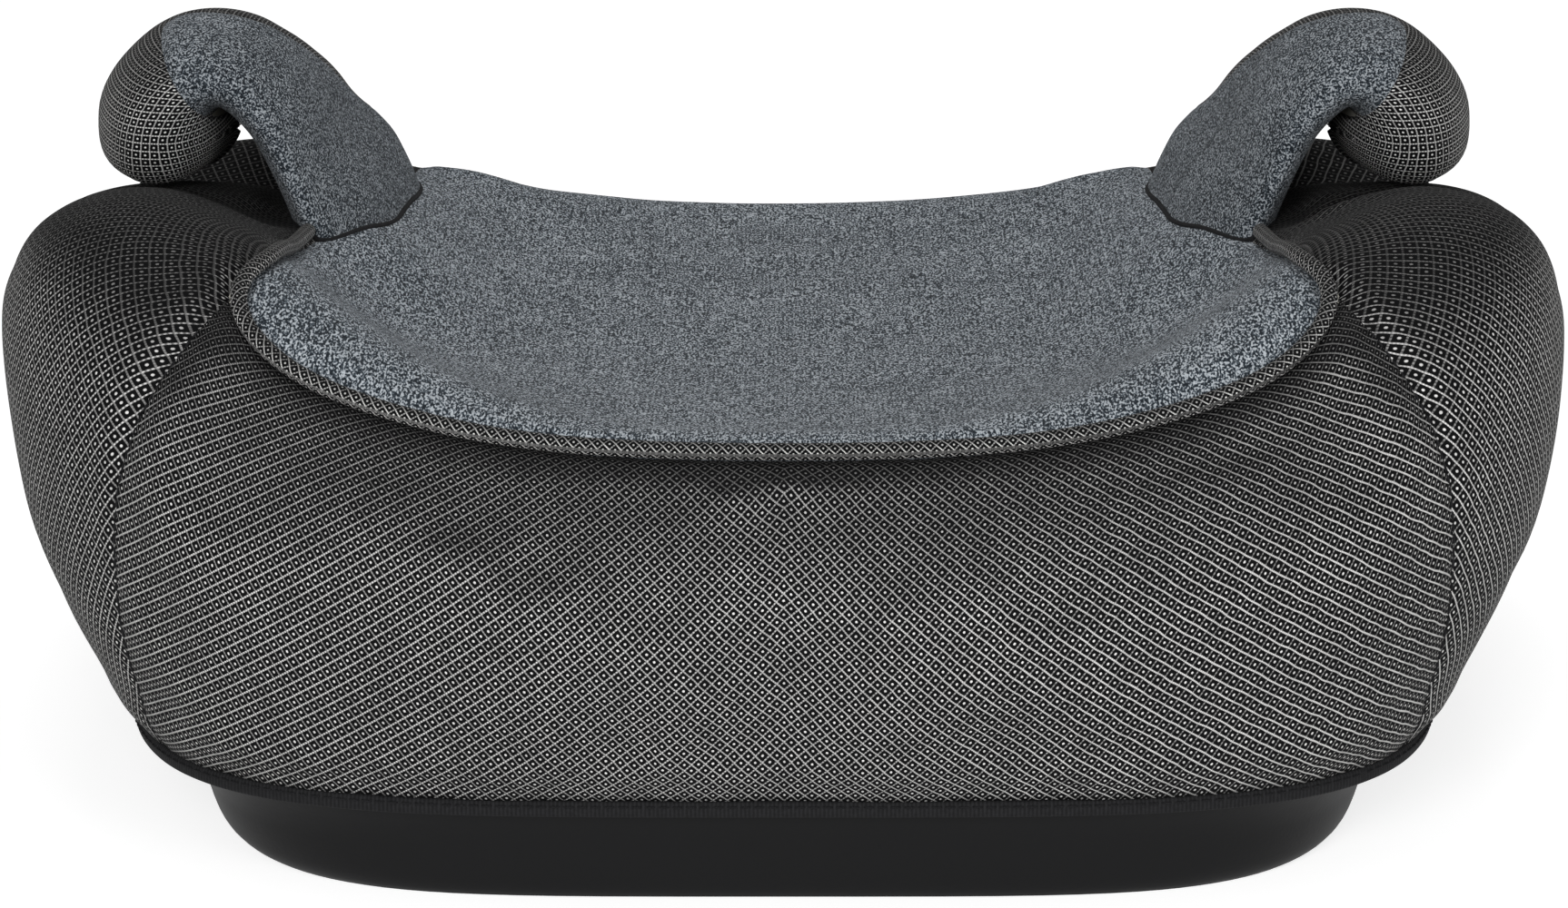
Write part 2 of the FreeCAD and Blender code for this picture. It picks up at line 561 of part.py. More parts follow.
rear_block = box(-REAR_CORNER_X, REAR_CORNER_X, REAR_PANEL_FRONT_Y, FAR, BELOW, REAR_SEAM_HEIGHT)
rear_panel = rest.common(rear_block)
rest = rest.cut(rear_block)
side_panel = rest.common(box(0, FAR, -FAR, FAR, BELOW, ABOVE))

# Hem binding, a folded tape under the edge of the cover, and the elastic it holds
hem_top = HEM_HEIGHT - SEAM_CLEARANCE


def hem_ring(offset, z):
    points = []
    for i in range(RING_POINTS):
        angle = 2 * math.pi * i / RING_POINTS
        normal = cover_normal(angle, 1.0)
        normal.z = 0.0
        normal.normalize()
        point = cover_point(angle, 1.0) + normal * offset
        points.append(FreeCAD.Vector(point.x, point.y, z))
    return points


def hem_tube(offset, z0, z1):
    return prism(closed_curve(hem_ring(offset, z0)), FreeCAD.Vector(0, 0, z1 - z0))


hem_outer = 1.0
hem_inner = hem_outer - HEM_BAND_WIDTH
hem_foot = hem_top - HEM_BAND_HEIGHT
channel_floor = hem_foot + HEM_BAND_WALL
hem_binding = hem_tube(hem_outer, hem_foot, hem_top).cut(hem_tube(hem_inner, hem_foot - 1, hem_top + 1))
channel = hem_tube(hem_outer - HEM_BAND_WALL, channel_floor, hem_top + 1)
channel = channel.cut(hem_tube(hem_inner + HEM_BAND_WALL, channel_floor - 1, hem_top + 2))
hem_binding = hem_binding.cut(channel)
slack = HEM_BAND_WALL + ELASTIC_CLEARANCE
hem_elastic = hem_tube(hem_outer - slack, channel_floor + ELASTIC_CLEARANCE, hem_top - ELASTIC_CLEARANCE)
hem_elastic = hem_elastic.cut(hem_tube(hem_inner + slack, channel_floor, hem_top))


# Piping along the front edge of the seat panel, from one horn to the other
def cover_lift(x, y):
    """Angle and t of the cover point that lies above a place in plan."""
    angle = math.atan2(y - COVER_CENTRE_Y, x)
    t = 0.45
    for step in range(30):
        p = cover_point(angle, t)
        pa = cover_point(angle + 1e-4, t)
        pt = cover_point(angle, t + 1e-4)
        ax = (pa.x - p.x) / 1e-4
        ay = (pa.y - p.y) / 1e-4
        tx = (pt.x - p.x) / 1e-4
        ty = (pt.y - p.y) / 1e-4
        det = ax * ty - ay * tx
        dx = x - p.x
        dy = y - p.y
        if abs(dx) + abs(dy) < 1e-5 or abs(det) < 1e-9:
            break
        da = (dx * ty - dy * tx) / det
        dt = (ax * dy - ay * dx) / det
        angle += max(min(da, 0.3), -0.3)
        t = min(max(t + max(min(dt, 0.1), -0.1), 0.03), 0.7)
    return angle, t


PIPING_STATIONS = 46
track = []
horn_nose = HORN_Y - HORN_HALF_LENGTH - 4.0
for p in seam_edge.discretize(400):
    if p.y < horn_nose:
        track.append(p)
pick = [track[round(i * (len(track) - 1) / (PIPING_STATIONS - 1))] for i in range(PIPING_STATIONS)]
spine = []
for p in pick:
    angle, t = cover_lift(p.x, p.y)
    spine.append(cover_point(angle, t) + cover_normal(angle, t) * (PIPING_RADIUS + SEAM_CLEARANCE))
rounds = []
for i, p in enumerate(spine):
    tangent = spine[min(i + 1, len(spine) - 1)] - spine[max(i - 1, 0)]
    tangent.normalize()
    across = tangent.cross(FreeCAD.Vector(0, 0, 1))
    across.normalize()
    upright = across.cross(tangent)
    points = []
    for k in range(8):
        a = 2 * math.pi * k / 8
        points.append(p + across * (PIPING_RADIUS * math.cos(a)) + upright * (PIPING_RADIUS * math.sin(a)))
    rounds.append(points)
seat_piping = loft(rounds)

# Horn covers: mesh sleeve with a knit insert on the front and on the seat side
horn_skin = horn_body(0.0).cut(horn_hole)
horn_skin = horn_skin.cut(cover_body(-SEAM_CLEARANCE))
INSERT_END = 0.80            # where the insert ends along the horn
INSERT_EDGE = 0.6            # its edge towards the belt gap, as a share of the half thickness
INSERT_ROOT_Y = 115.0        # rear edge of the insert at the seat
INSERT_CREST_Y = 20.0        # and over the arch
edge = []
for i in range(13):
    s = INSERT_END * i / 12
    seat_side = horn_point(s, 0.0, 0.0)
    x, z, half, middle, length = horn_row(s)
    nx = (seat_side.x - x) / half
    nz = (seat_side.z - z) / half
    edge.append(FreeCAD.Vector(x - nx * half * INSERT_EDGE, -FAR, z - nz * half * INSERT_EDGE))
last = FreeCAD.Vector(x + nx * 3 * half, -FAR, z + nz * 3 * half)
corner_high = FreeCAD.Vector(BELOW, -FAR, last.z + 60)
corner_low = FreeCAD.Vector(BELOW, -FAR, edge[0].z)
insert_outline = Part.Wire([
    open_curve(edge),
    Part.makeLine(edge[-1], last),
    Part.makeLine(last, corner_high),
    Part.makeLine(corner_high, corner_low),
    Part.makeLine(corner_low, edge[0])])
insert_prism = prism(insert_outline, FreeCAD.Vector(0, 2 * FAR, 0))
slope = (INSERT_CREST_Y - INSERT_ROOT_Y) / (HORN_CREST - SEAT_HEIGHT - 15)
low_y = INSERT_ROOT_Y - slope * (SEAT_HEIGHT + 15)
ahead = Part.makePolygon([
    FreeCAD.Vector(0, -FAR, 0),
    FreeCAD.Vector(0, low_y, 0),
    FreeCAD.Vector(0, low_y + slope * ABOVE, ABOVE),
    FreeCAD.Vector(0, -FAR, ABOVE),
    FreeCAD.Vector(0, -FAR, 0)])
insert_prism = insert_prism.common(prism(ahead, FreeCAD.Vector(FAR, 0, 0)))
horn_insert = horn_skin.common(insert_prism)
horn_sleeve = horn_skin.cut(insert_prism)

# ---------------------------------------------------------------- export
nodes = {
    "base_shell": base_shell,
    "seat_foam": seat_foam,
    "front_foam": front_foam,
    "rear_foam": rear_foam,
    "bolster_foam_left": side_foam,
    "bolster_foam_right": mirrored(side_foam),
    "horn_core_left": horn_core,
    "horn_core_right": mirrored(horn_core),
    "horn_screws": Part.makeCompound(screws + [mirrored(s) for s in screws]),
    "horn_foam_left": horn_foam,
    "horn_foam_right": mirrored(horn_foam),
    "horn_sleeve_left": horn_sleeve,
    "horn_sleeve_right": mirrored(horn_sleeve),
    "horn_insert_left": horn_insert,
    "horn_insert_right": mirrored(horn_insert),
    "seat_panel": seat_panel,
    "front_panel": front_panel,
    "rear_panel": rear_panel,
    "side_panel_left": side_panel,
    "side_panel_right": mirrored(side_panel),
    "seat_piping": seat_piping,
    "hem_binding": hem_binding,
    "hem_elastic": hem_elastic,
}
for name, shape in nodes.items():
    shape.exportStep("parts/" + name + ".step")
    print(name, "solids", len(shape.Solids), "valid", shape.isValid(), "volume", round(shape.Volume))
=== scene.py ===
import math

import bpy
import numpy as np
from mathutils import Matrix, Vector, kdtree


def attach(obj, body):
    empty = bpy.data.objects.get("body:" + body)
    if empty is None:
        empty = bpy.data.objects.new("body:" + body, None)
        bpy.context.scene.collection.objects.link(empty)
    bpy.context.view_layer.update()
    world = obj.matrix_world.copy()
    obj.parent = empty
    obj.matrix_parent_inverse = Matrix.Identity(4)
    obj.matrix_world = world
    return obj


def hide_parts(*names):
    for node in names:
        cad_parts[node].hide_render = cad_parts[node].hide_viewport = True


# Upholstered child's booster seat. Millimetres here, metres in the objects; same frame as the CAD.
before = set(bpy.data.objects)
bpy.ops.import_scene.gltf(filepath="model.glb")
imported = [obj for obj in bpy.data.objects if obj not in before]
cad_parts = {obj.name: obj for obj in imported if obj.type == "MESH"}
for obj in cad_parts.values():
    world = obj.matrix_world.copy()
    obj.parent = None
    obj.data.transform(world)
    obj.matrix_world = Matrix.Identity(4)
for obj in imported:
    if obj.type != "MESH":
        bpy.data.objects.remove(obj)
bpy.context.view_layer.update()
MM = 0.001
TURN = 2 * math.pi

# ------------------------------------------------------------------ values of the form
CENTRE_Y = 2.6
# half width, front reach, rear reach, squareness front and rear, z side, z front, z rear, fall
COVER_RINGS = [
    (0, 0, 0, 2, 2, 112, 112, 112, 0),
    (60, 55, 60, 2, 2, 112, 113.5, 111.5, 0),
    (104, 108, 112, 2.2, 2.2, 117, 119, 110, 2),
    (132, 138, 150, 2.4, 2.5, 134, 122, 110, 14),
    (154, 158, 168, 2.5, 2.7, 152, 126, 111, 44),
    (188, 172, 177, 2.6, 3.0, 158, 120, 110, 76),
    (221, 187, 184, 2.8, 3.2, 146.5, 99, 95, 70),
    (222, 190, 184, 3.05, 3.4, 112, 70, 66, 12),
    (211.2, 188, 182, 3.25, 3.6, 62, 50, 48, 0),
    (184, 182, 178, 4.2, 4.0, 32, 32, 32, 0),
]
SEAT_OUTLINE = [(0, -163.4), (39.7, -162.5), (76.4, -159.4), (111.7, -152.4), (128, -146.6),
                (138, -140.2), (144.4, -132.6), (146.2, -125), (144.2, -116), (141, -106),
                (139.4, -92), (138.6, -60), (136.6, -17.4), (126, 53.6), (116, 138.8), (116, 400)]
SIDE_SEAM = [(122, 188), (147, 158), (164, 141), (176, 116), (179, 94), (178, 66), (170, 36),
             (159, 12)]
CORNER_Y = -123.0
REAR_SEAM_Z = 74.0
REAR_CORNER_X = 168.0
REAR_PANEL_Y = 120.0
PIPING_RADIUS = 2.3
HORN_Y = 53.6
HORN_HALF_LENGTH = 71.0
# x, z, half thickness, middle y, half length
HORN_STATIONS = np.array([
    (127, 97.7, 18, 54.6, 72), (127, 115.7, 18, 54.6, 72), (131, 138, 15, 53.6, 71),
    (139.5, 158, 11.5, 47.6, 66), (148.5, 176, 12.2, 40.6, 58), (160, 186.5, 13.4, 34.6, 52),
    (172.5, 185.5, 16.5, 28.6, 47), (180.5, 173.5, 19.5, 25.6, 45), (181, 158, 19, 28.6, 40)],
    float)
ROOT_FLARE = 1.6              # the root widens to the rear on its outer side
TIP_START = 0.86              # share of the horn's length where its rounded end begins
TIP_LENGTH = 0.14
TIP_POWER = 2.6
SIDE_POWER, REACH_POWER = 2.3, 2.6    # squareness of the horn's section

# Relief of the cloth over the smooth cover: heights, then widths
BROAD_LUMP, FINE_LUMP = 0.45, 0.16
SEAT_GROOVE, SEAT_GROOVE_WIDTH = 1.7, 2.6
SEAT_ROLL, SEAT_ROLL_FROM_SEAM, SEAT_ROLL_WIDTH = 0.9, 9, 6
CREASE_LOW, CREASE_HIGH = 0.5, 2.7    # side seams: below, and added at the upper front corners
CREASE_WIDTH, CREASE_WIDTH_HIGH = 1.8, 2.6
CORNER_PUFF, CORNER_PUFF_FROM_SEAM, CORNER_PUFF_WIDTH = 1.6, 11, 8
REAR_GROOVE, REAR_GROOVE_WIDTH = 0.9, 2.2
HEM_PUFF, HEM_PUFF_UP, HEM_PUFF_WIDTH = 1.3, 10, 6
ROOT_CLIMB = 12.0             # how far the seat cloth is drawn up round the foot of a horn
GAP_CLOTH = 18.0              # cloth gathered between horn foot and bolster, behind the belt gap
LOBE_DROP, LOBE_REAR = 4.5, 4.0       # the horn's lobe hangs to the bolster, and to the rear

# Cloth simulation on a coarse net, and how much of it reaches the fine cloth
NET_COLUMN, NET_ROW = 5, 4
NET_HOLD = 6.5                # the net is held nearer than this to a seam
SIM_FRAMES, SIM_PRESSURE, SIM_SLACK = 16, 4.0, 0.02
SWELL_DIP, SWELL_CAP = 0.4, 3.2
SIDE_TRIM = 1.9               # swell taken off again at the outer sides

COVER_CLOTH, HORN_CLOTH = 2.4, 1.2    # thickness of the padded cloth
THREAD_RADIUS, FOOT_CORD = 0.42, 0.8
HEM_THREAD = 0.32
HEM_TAPE_Z, HEM_TAPE_INSET = 29.4, 1.8
HEM_STITCH_Z, HEM_STITCH_OUT = 30.4, 1.0
LOOP_RINGS, LOOP_SIDES = 7, 6         # mesh of one stitch


# ------------------------------------------------------------------ surface of the cover
def spow(value, power):
    return np.sign(value) * np.abs(value) ** power


def cover_ring(row, angle):
    half, front, rear, n_front, n_rear, z_side, z_front, z_rear, fall = row
    cc = np.abs(np.cos(angle)) ** 3
    ss = np.abs(np.sin(angle)) ** 3
    c = np.sign(np.cos(angle)) * np.sqrt(cc / (cc + ss))
    s = np.sign(np.sin(angle)) * np.sqrt(ss / (cc + ss))
    ahead = s < 0
    n = np.where(ahead, n_front, n_rear)
    x = half * spow(c, 2 / n)
    y = CENTRE_Y + np.where(ahead, front, rear) * spow(s, 2 / n)
    share = c * c / (c * c + np.where(ahead, 1.0, 0.6) * s * s)
    z = z_side * share + np.where(ahead, z_front, z_rear) * (1 - share)
    return np.stack([x, y, z - fall * s * np.abs(c) ** 3.2], -1)


def spline_weights(t, count):
    spans = count - 3
    knots = np.concatenate([np.zeros(3), np.linspace(0, 1, spans + 1), np.ones(3)])
    t = np.clip(t, 0, 1 - 1e-9)
    weights = [((knots[i] <= t) & (t < knots[i + 1])) * 1.0 for i in range(len(knots) - 1)]
    for d in range(1, 4):
        raised = []
        for i in range(len(knots) - 1 - d):
            w = np.zeros_like(t)
            if knots[i + d] > knots[i]:
                w = w + (t - knots[i]) / (knots[i + d] - knots[i]) * weights[i]
            if knots[i + d + 1] > knots[i + 1]:
                w = w + (knots[i + d + 1] - t) / (knots[i + d + 1] - knots[i + 1]) * weights[i + 1]
            raised.append(w)
        weights = raised
    return weights[:count]


def cover(angle, t):
    angle, t = np.broadcast_arrays(np.asarray(angle, float), np.asarray(t, float))
    total = np.zeros(angle.shape + (3,))
    for w, row in zip(spline_weights(t, len(COVER_RINGS)), COVER_RINGS):
        total += w[..., None] * cover_ring(row, angle)
    return total


def curve_through(points, count):
    """Smooth curve through points: cubic spline on the chord lengths, natural ends."""
    p = np.array(points, float)
    k = lengths(p)
    n = len(p)
    h = np.diff(k)
    m = np.eye(n)
    rhs = np.zeros_like(p)
    for i in range(1, n - 1):
        m[i, i - 1:i + 2] = h[i - 1], 2 * (h[i - 1] + h[i]), h[i]
        rhs[i] = 6 * ((p[i + 1] - p[i]) / h[i] - (p[i] - p[i - 1]) / h[i - 1])
    c = np.linalg.solve(m, rhs)
    s = np.linspace(0, k[-1], count)
    i = np.clip(np.searchsorted(k, s, side="right") - 1, 0, n - 2)
    a = ((k[i + 1] - s) / h[i])[:, None]
    b = 1 - a
    hh = h[i][:, None] ** 2 / 6
    return a * p[i] + b * p[i + 1] + ((a ** 3 - a) * c[i] + (b ** 3 - b) * c[i + 1]) * hh


# ------------------------------------------------------------------ meshes as arrays
class Cloth:
    """Vertices, columns of values on them, and faces as lists of indices."""

    def __init__(self, points, faces, **values):
        self.p = points
        self.v = values
        self.f = faces

    def table(self):
        cols = [self.p] + [v[:, None] for v in self.v.values()]
        return np.concatenate(cols, 1)

    def from_table(self, rows, faces):
        values = {k: rows[:, 3 + i] for i, k in enumerate(self.v)}
        return Cloth(rows[:, :3], faces, **values)


def clipped(cloth, field):
    """The part of the mesh where field is positive, cut cleanly along its zero line."""
    inside = field >= 0
    rows = cloth.table()
    new_rows = []
    made = {}
    faces = []

    def crossing(a, b):
        key = (min(a, b), max(a, b))
        if key not in made:
            i, j = key
            u = field[i] / (field[i] - field[j])
            u = min(max(u, 0.02), 0.98)
            made[key] = len(rows) + len(new_rows)
            new_rows.append(rows[i] + (rows[j] - rows[i]) * u)
        return made[key]

    for face in cloth.f:
        flags = [inside[i] for i in face]
        if all(flags):
            faces.append(face)
        elif any(flags):
            poly = []
            for k, a in enumerate(face):
                b = face[(k + 1) % len(face)]
                if inside[a]:
                    poly.append(a)
                if inside[a] != inside[b]:
                    poly.append(crossing(a, b))
            if len(poly) > 2:
                faces.append(poly)
    table = np.concatenate([rows, np.array(new_rows).reshape(-1, rows.shape[1])])
    used = np.zeros(len(table), bool)
    for face in faces:
        used[face] = True
    index = np.cumsum(used) - 1
    return cloth.from_table(table[used], [[int(index[i]) for i in face] for face in faces])


def vertex_normals(points, faces):
    normals = np.zeros_like(points)
    for size in {len(f) for f in faces}:
        group = np.array([f for f in faces if len(f) == size])
        corner = points[group]
        n = np.zeros((len(group), 3))
        for k in range(size):
            n += np.cross(corner[:, k], corner[:, (k + 1) % size])
        for k in range(size):
            np.add.at(normals, group[:, k], n)
    return normals / np.maximum(np.linalg.norm(normals, axis=1), 1e-12)[:, None]


def piece(name, cloth, material, thickness=0.0):
    """A Blender object from the arrays, with an inner face and a rim if it has a thickness."""
    points = cloth.p
    faces = list(cloth.f)
    count = len(points)
    u, v = cloth.v["u"], cloth.v["v"]
    if thickness:
        normals = vertex_normals(points, faces)
        edges = {}
        for face in faces:
            for k, a in enumerate(face):
                edges[(a, face[(k + 1) % len(face)])] = 1
        rim = [e for e in edges if (e[1], e[0]) not in edges]
        points = np.concatenate([points, points - normals * thickness])
        inner = [[i + count for i in reversed(face)] for face in faces]
        faces += inner + [[b, a, a + count, b + count] for a, b in rim]
        u = np.concatenate([u, u])
        v = np.concatenate([v, v])
    mesh = bpy.data.meshes.new(name)
    mesh.from_pydata((points * MM).tolist(), [], faces)
    layer = mesh.uv_layers.new(name="fabric")
    loops = np.empty(len(mesh.loops), np.int32)
    mesh.loops.foreach_get("vertex_index", loops)
    flat = np.stack([u[loops], v[loops]], -1).astype(np.float32).ravel()
    layer.data.foreach_set("uv", flat * MM)
    mesh.shade_smooth()
    mesh.update()
    obj = bpy.data.objects.new(name, mesh)
    bpy.context.collection.objects.link(obj)
    mesh.materials.append(material)
    return obj


def quads(rows, columns):
    """Faces of a tube of rings, each ring closed."""
    faces = []
    for low in range(0, (rows - 1) * columns, columns):
        for j in range(columns):
            k = (j + 1) % columns
            faces.append([low + j, low + columns + j, low + columns + k, low + k])
    return faces


def flipped(faces):
    return [list(reversed(f)) for f in faces]


def tree_of(rows):
    rows = list(rows)
    tree = kdtree.KDTree(len(rows))
    for i, place in enumerate(rows):
        tree.insert(place, i)
    tree.balance()
    return tree


def lengths(line):
    """Length from the start of a line to each of its points."""
    return np.concatenate([[0], np.cumsum(np.linalg.norm(np.diff(line, axis=0), axis=1))])


def gap(line, reach=40.0):
    """Distance from each point of the cover to a line of points, or a far value out of reach."""
    tree = tree_of(line)
    out = np.full(len(points), 1e3)
    low, high = line.min(0) - reach, line.max(0) + reach
    for i in np.where(((points > low) & (points < high)).all(1))[0]:
        out[i] = tree.find(points[i])[2]
    return out


def noise(points, scale, seed):
    """Smooth value noise on a lattice, from -1 to 1."""
    grid = np.random.default_rng(seed).uniform(-1, 1, (32, 32, 32))
    q = points / scale + 100.0
    i = np.floor(q).astype(int)
    f = q - i
    f = f * f * (3 - 2 * f)
    total = 0
    for dx in (0, 1):
        for dy in (0, 1):
            for dz in (0, 1):
                w = (f[:, 0] if dx else 1 - f[:, 0]) * (f[:, 1] if dy else 1 - f[:, 1])
                w = w * (f[:, 2] if dz else 1 - f[:, 2])
                cell = (i + [dx, dy, dz]) % 32
                total = total + w * grid[cell[:, 0], cell[:, 1], cell[:, 2]]
    return total


def smooth(low, high, value):
    """Rises from 0 at low to 1 at high; falls if low is the larger."""
    u = np.clip((value - low) / (high - low), 0, 1)
    return u * u * (3 - 2 * u)


def ridge(distance, width):
    """1 on a line, dying away to both sides of it."""
    return np.exp(-(distance / width) ** 2)


def outward_faces(body, centres):
    """Turns the faces of a closed body so that they look away from their centres."""
    if ((body.p - centres) * vertex_normals(body.p, body.f)).sum() < 0:
        body.f = flipped(body.f)
    return body


# ------------------------------------------------------------------ shader helpers
class Nodes:
    def __init__(self, name):
        self.material = bpy.data.materials.new(name)
        self.material.use_nodes = True
        self.tree = self.material.node_tree
        self.tree.nodes.clear()
        self.out = self.tree.nodes.new("ShaderNodeOutputMaterial")
        self.bsdf = self.tree.nodes.new("ShaderNodeBsdfPrincipled")
        self.link(self.bsdf.outputs[0], self.out.inputs["Surface"])

    def link(self, a, b):
        self.tree.links.new(a, b)

    def put(self, value, socket):
        if hasattr(value, "is_linked"):
            self.link(value, socket)
        else:
            socket.default_value = value

    def math(self, op, a, b=0.0):
        node = self.tree.nodes.new("ShaderNodeMath")
        node.operation = op
        for i, value in enumerate((a, b)):
            self.put(value, node.inputs[i])
        return node.outputs[0]

    def plus(self, a, b):
        return self.math("ADD", a, b)

    def minus(self, a, b):
        return self.math("SUBTRACT", a, b)

    def times(self, a, b):
        return self.math("MULTIPLY", a, b)

    def step(self, value, low, high):
        node = self.tree.nodes.new("ShaderNodeMapRange")
        node.interpolation_type = "SMOOTHSTEP"
        self.put(value, node.inputs["Value"])
        self.put(low, node.inputs["From Min"])
        self.put(high, node.inputs["From Max"])
        return node.outputs[0]

    def noise(self, vector, scale, detail=2.0, rough=0.5):
        node = self.tree.nodes.new("ShaderNodeTexNoise")
        self.link(vector, node.inputs["Vector"])
        node.inputs["Scale"].default_value = scale
        node.inputs["Detail"].default_value = detail
        node.inputs["Roughness"].default_value = rough
        return node.outputs[0]

    def mix(self, factor, a, b):
        node = self.tree.nodes.new("ShaderNodeMix")
        node.data_type = "RGBA"
        self.put(factor, node.inputs[0])
        self.put(a, node.inputs[6])
        self.put(b, node.inputs[7])
        return node.outputs[2]

    def coords(self, kind):
        return self.tree.nodes.new("ShaderNodeTexCoord").outputs[kind]

    def split(self, vector):
        node = self.tree.nodes.new("ShaderNodeSeparateXYZ")
        self.link(vector, node.inputs[0])
        return node.outputs

    def join(self, x, y, z=0.0):
        node = self.tree.nodes.new("ShaderNodeCombineXYZ")
        for i, value in enumerate((x, y, z)):
            self.put(value, node.inputs[i])
        return node.outputs[0]

    def bump(self, height, distance, strength):
        node = self.tree.nodes.new("ShaderNodeBump")
        node.inputs["Strength"].default_value = strength
        node.inputs["Distance"].default_value = distance
        self.link(height, node.inputs["Height"])
        self.link(node.outputs[0], self.bsdf.inputs["Normal"])

    def finish(self, color, rough, spec=0.3, sheen=0.0):
        self.put(color, self.bsdf.inputs["Base Color"])
        self.put(rough, self.bsdf.inputs["Roughness"])
        self.bsdf.inputs["Specular IOR Level"].default_value = spec
        if sheen:
            self.bsdf.inputs["Sheen Weight"].default_value = sheen
            self.bsdf.inputs["Sheen Roughness"].default_value = 0.4
        return self.material


def mesh_knit(name, pitch, diagonal=True, tone=1.0, balance=True, stretch=0.82):
    """Black mesh with a light lattice: lines along and across, and a dot in every cell.

    pitch is a cell in metres; balance lets one set of lines win on each half of the seat; the last
    argument is painted shade: how far the threads are darkened where the cloth faces up, as if lit
    from the front.
    """
    m = Nodes(name)
    uv = m.split(m.coords("UV"))
    if diagonal:
        a = m.times(m.plus(uv[0], uv[1]), 0.7071 / pitch)
        b = m.times(m.minus(uv[0], uv[1]), 0.7071 / pitch)
    else:
        a = m.math("DIVIDE", uv[0], pitch)
        b = m.math("DIVIDE", uv[1], pitch)
    sway = m.noise(m.coords("Object"), 160.0, 1.0)
    a = m.plus(a, m.times(m.minus(sway, 0.5), 0.35))
    from_middle_a = m.math("ABSOLUTE", m.minus(m.math("FRACT", a), 0.5))
    from_middle_b = m.math("ABSOLUTE", m.minus(m.math("FRACT", b), 0.5))
    squares = m.plus(m.times(from_middle_a, from_middle_a), m.times(from_middle_b, from_middle_b))
    radius = m.math("SQRT", squares)
    line_a = m.step(from_middle_a, *LATTICE_EDGE)
    line_b = m.step(from_middle_b, *LATTICE_EDGE)
    twist_a = m.plus(0.78, m.times(m.math("SINE", m.times(b, FOUR_TURNS)), 0.22))
    twist_b = m.plus(0.62, m.times(m.math("SINE", m.times(a, THREE_TURNS)), 0.38))
    dot = m.minus(1.0, m.step(radius, *DOT_EDGE))
    if balance:
        side = m.step(m.split(m.coords("Object"))[0], -0.13, 0.13)
        strength_a = m.minus(1.0, m.times(side, 0.6))
        strength_b = m.plus(0.4, m.times(side, 0.6))
    else:
        strength_a, strength_b = 0.6, 1.0
    if diagonal:
        strength_a, strength_b = strength_b, strength_a
    lines = m.math("MAXIMUM", m.times(m.times(line_a, twist_a), strength_a),
                   m.times(m.times(line_b, twist_b), strength_b))
    thread = m.math("MAXIMUM", lines, m.times(dot, 0.95))
    cell = m.tree.nodes.new("ShaderNodeTexWhiteNoise")
    cell.noise_dimensions = "2D"
    m.link(m.join(m.math("FLOOR", a), m.math("FLOOR", b)), cell.inputs["Vector"])
    vary = m.plus(0.75, m.times(cell.outputs[0], 0.35))
    broad = m.plus(0.85, m.times(m.noise(m.coords("Object"), 22.0, 2.0), 0.3))
    light = m.times(m.times(thread, vary), broad)
    # Painted shade: the lattice threads are darkened where the surface faces up, so the tops read
    # dark
    facing_up = m.split(m.tree.nodes.new("ShaderNodeNewGeometry").outputs["Normal"])[2]
    light = m.times(light, m.minus(1.0, m.times(m.step(facing_up, 0.15, 0.85), stretch)))
    color = m.mix(light, MESH_GROUND, tuple(c * tone for c in MESH_THREAD) + (1,))
    m.bump(thread, 0.0004, 0.6)
    return m.finish(color, 0.8, 0.1)


def melange_knit(name, tone, grain, draw):
    """Blue-grey melange jersey: light and dark fibres over fine wales and courses.

    grain is the fibres' noise scale; draw below 1 stretches them from front to rear.
    """
    m = Nodes(name)
    place = m.coords("Object")
    uv = m.split(m.coords("UV"))
    axes = m.split(place)
    drawn = m.join(axes[0], m.times(axes[1], draw), axes[2])
    speck = m.noise(drawn, grain, 1.0)
    fleck = m.noise(drawn, grain * 1.7, 1.0)
    patch = m.noise(drawn, grain * 0.3, 1.0)
    broad = m.noise(place, 30.0, 2.0)
    wale = m.math("SINE", m.times(uv[0], TURN / WALE_PITCH))
    course = m.math("SINE", m.times(uv[1], TURN / COURSE_PITCH))
    knit = m.times(m.plus(m.times(wale, 1.5), course), 0.04)
    value = m.plus(m.step(speck, 0.31, 0.69), m.times(m.minus(fleck, 0.5), 0.7))
    value = m.plus(value, m.times(m.minus(patch, 0.5), 0.55))
    value = m.plus(m.plus(value, knit), m.times(m.minus(broad, 0.5), 0.2))
    ramp = m.tree.nodes.new("ShaderNodeValToRGB")
    m.link(value, ramp.inputs[0])
    elements = ramp.color_ramp.elements
    elements[0].position, elements[1].position = MELANGE_STOPS[0][0], MELANGE_STOPS[2][0]
    elements.new(MELANGE_STOPS[1][0])
    for element, (_, color) in zip(elements, MELANGE_STOPS):
        element.color = tuple(c * tone for c in color) + (1,)
    m.bump(m.plus(value, m.times(wale, 0.3)), 0.0003, 0.6)
    return m.finish(ramp.outputs[0], 0.85, 0.15, 0.05)


def shades(color, low, high):
    return tuple(c * low for c in color) + (1,), tuple(c * high for c in color) + (1,)


def plastic(name, color, rough, grain=900.0):
    """Moulded surface with a fine grain and slight mottling; serves the hidden solids too."""
    m = Nodes(name)
    place = m.coords("Object")
    mottle = m.noise(place, 35.0, 3.0)
    m.bump(m.noise(place, grain, 2.0), 0.00012, 0.35)
    roughness = m.plus(rough - 0.06, m.times(mottle, 0.12))
    return m.finish(m.mix(mottle, *shades(color, 0.82, 1.2)), roughness, 0.16)


def tape(name, color, pitch):
    """Woven tape or thread with fine ribs across it."""
    m = Nodes(name)
    uv = m.split(m.coords("UV"))
    rib = m.math("SINE", m.times(uv[0], TURN / pitch))
    value = m.plus(m.times(rib, 0.3), m.noise(m.coords("Object"), 800.0, 2.0))
    m.bump(value, 0.0003, 0.5)
    return m.finish(m.mix(m.step(value, 0.1, 1.0), *shades(color, 0.6, 1.5)), 0.85, 0.2)


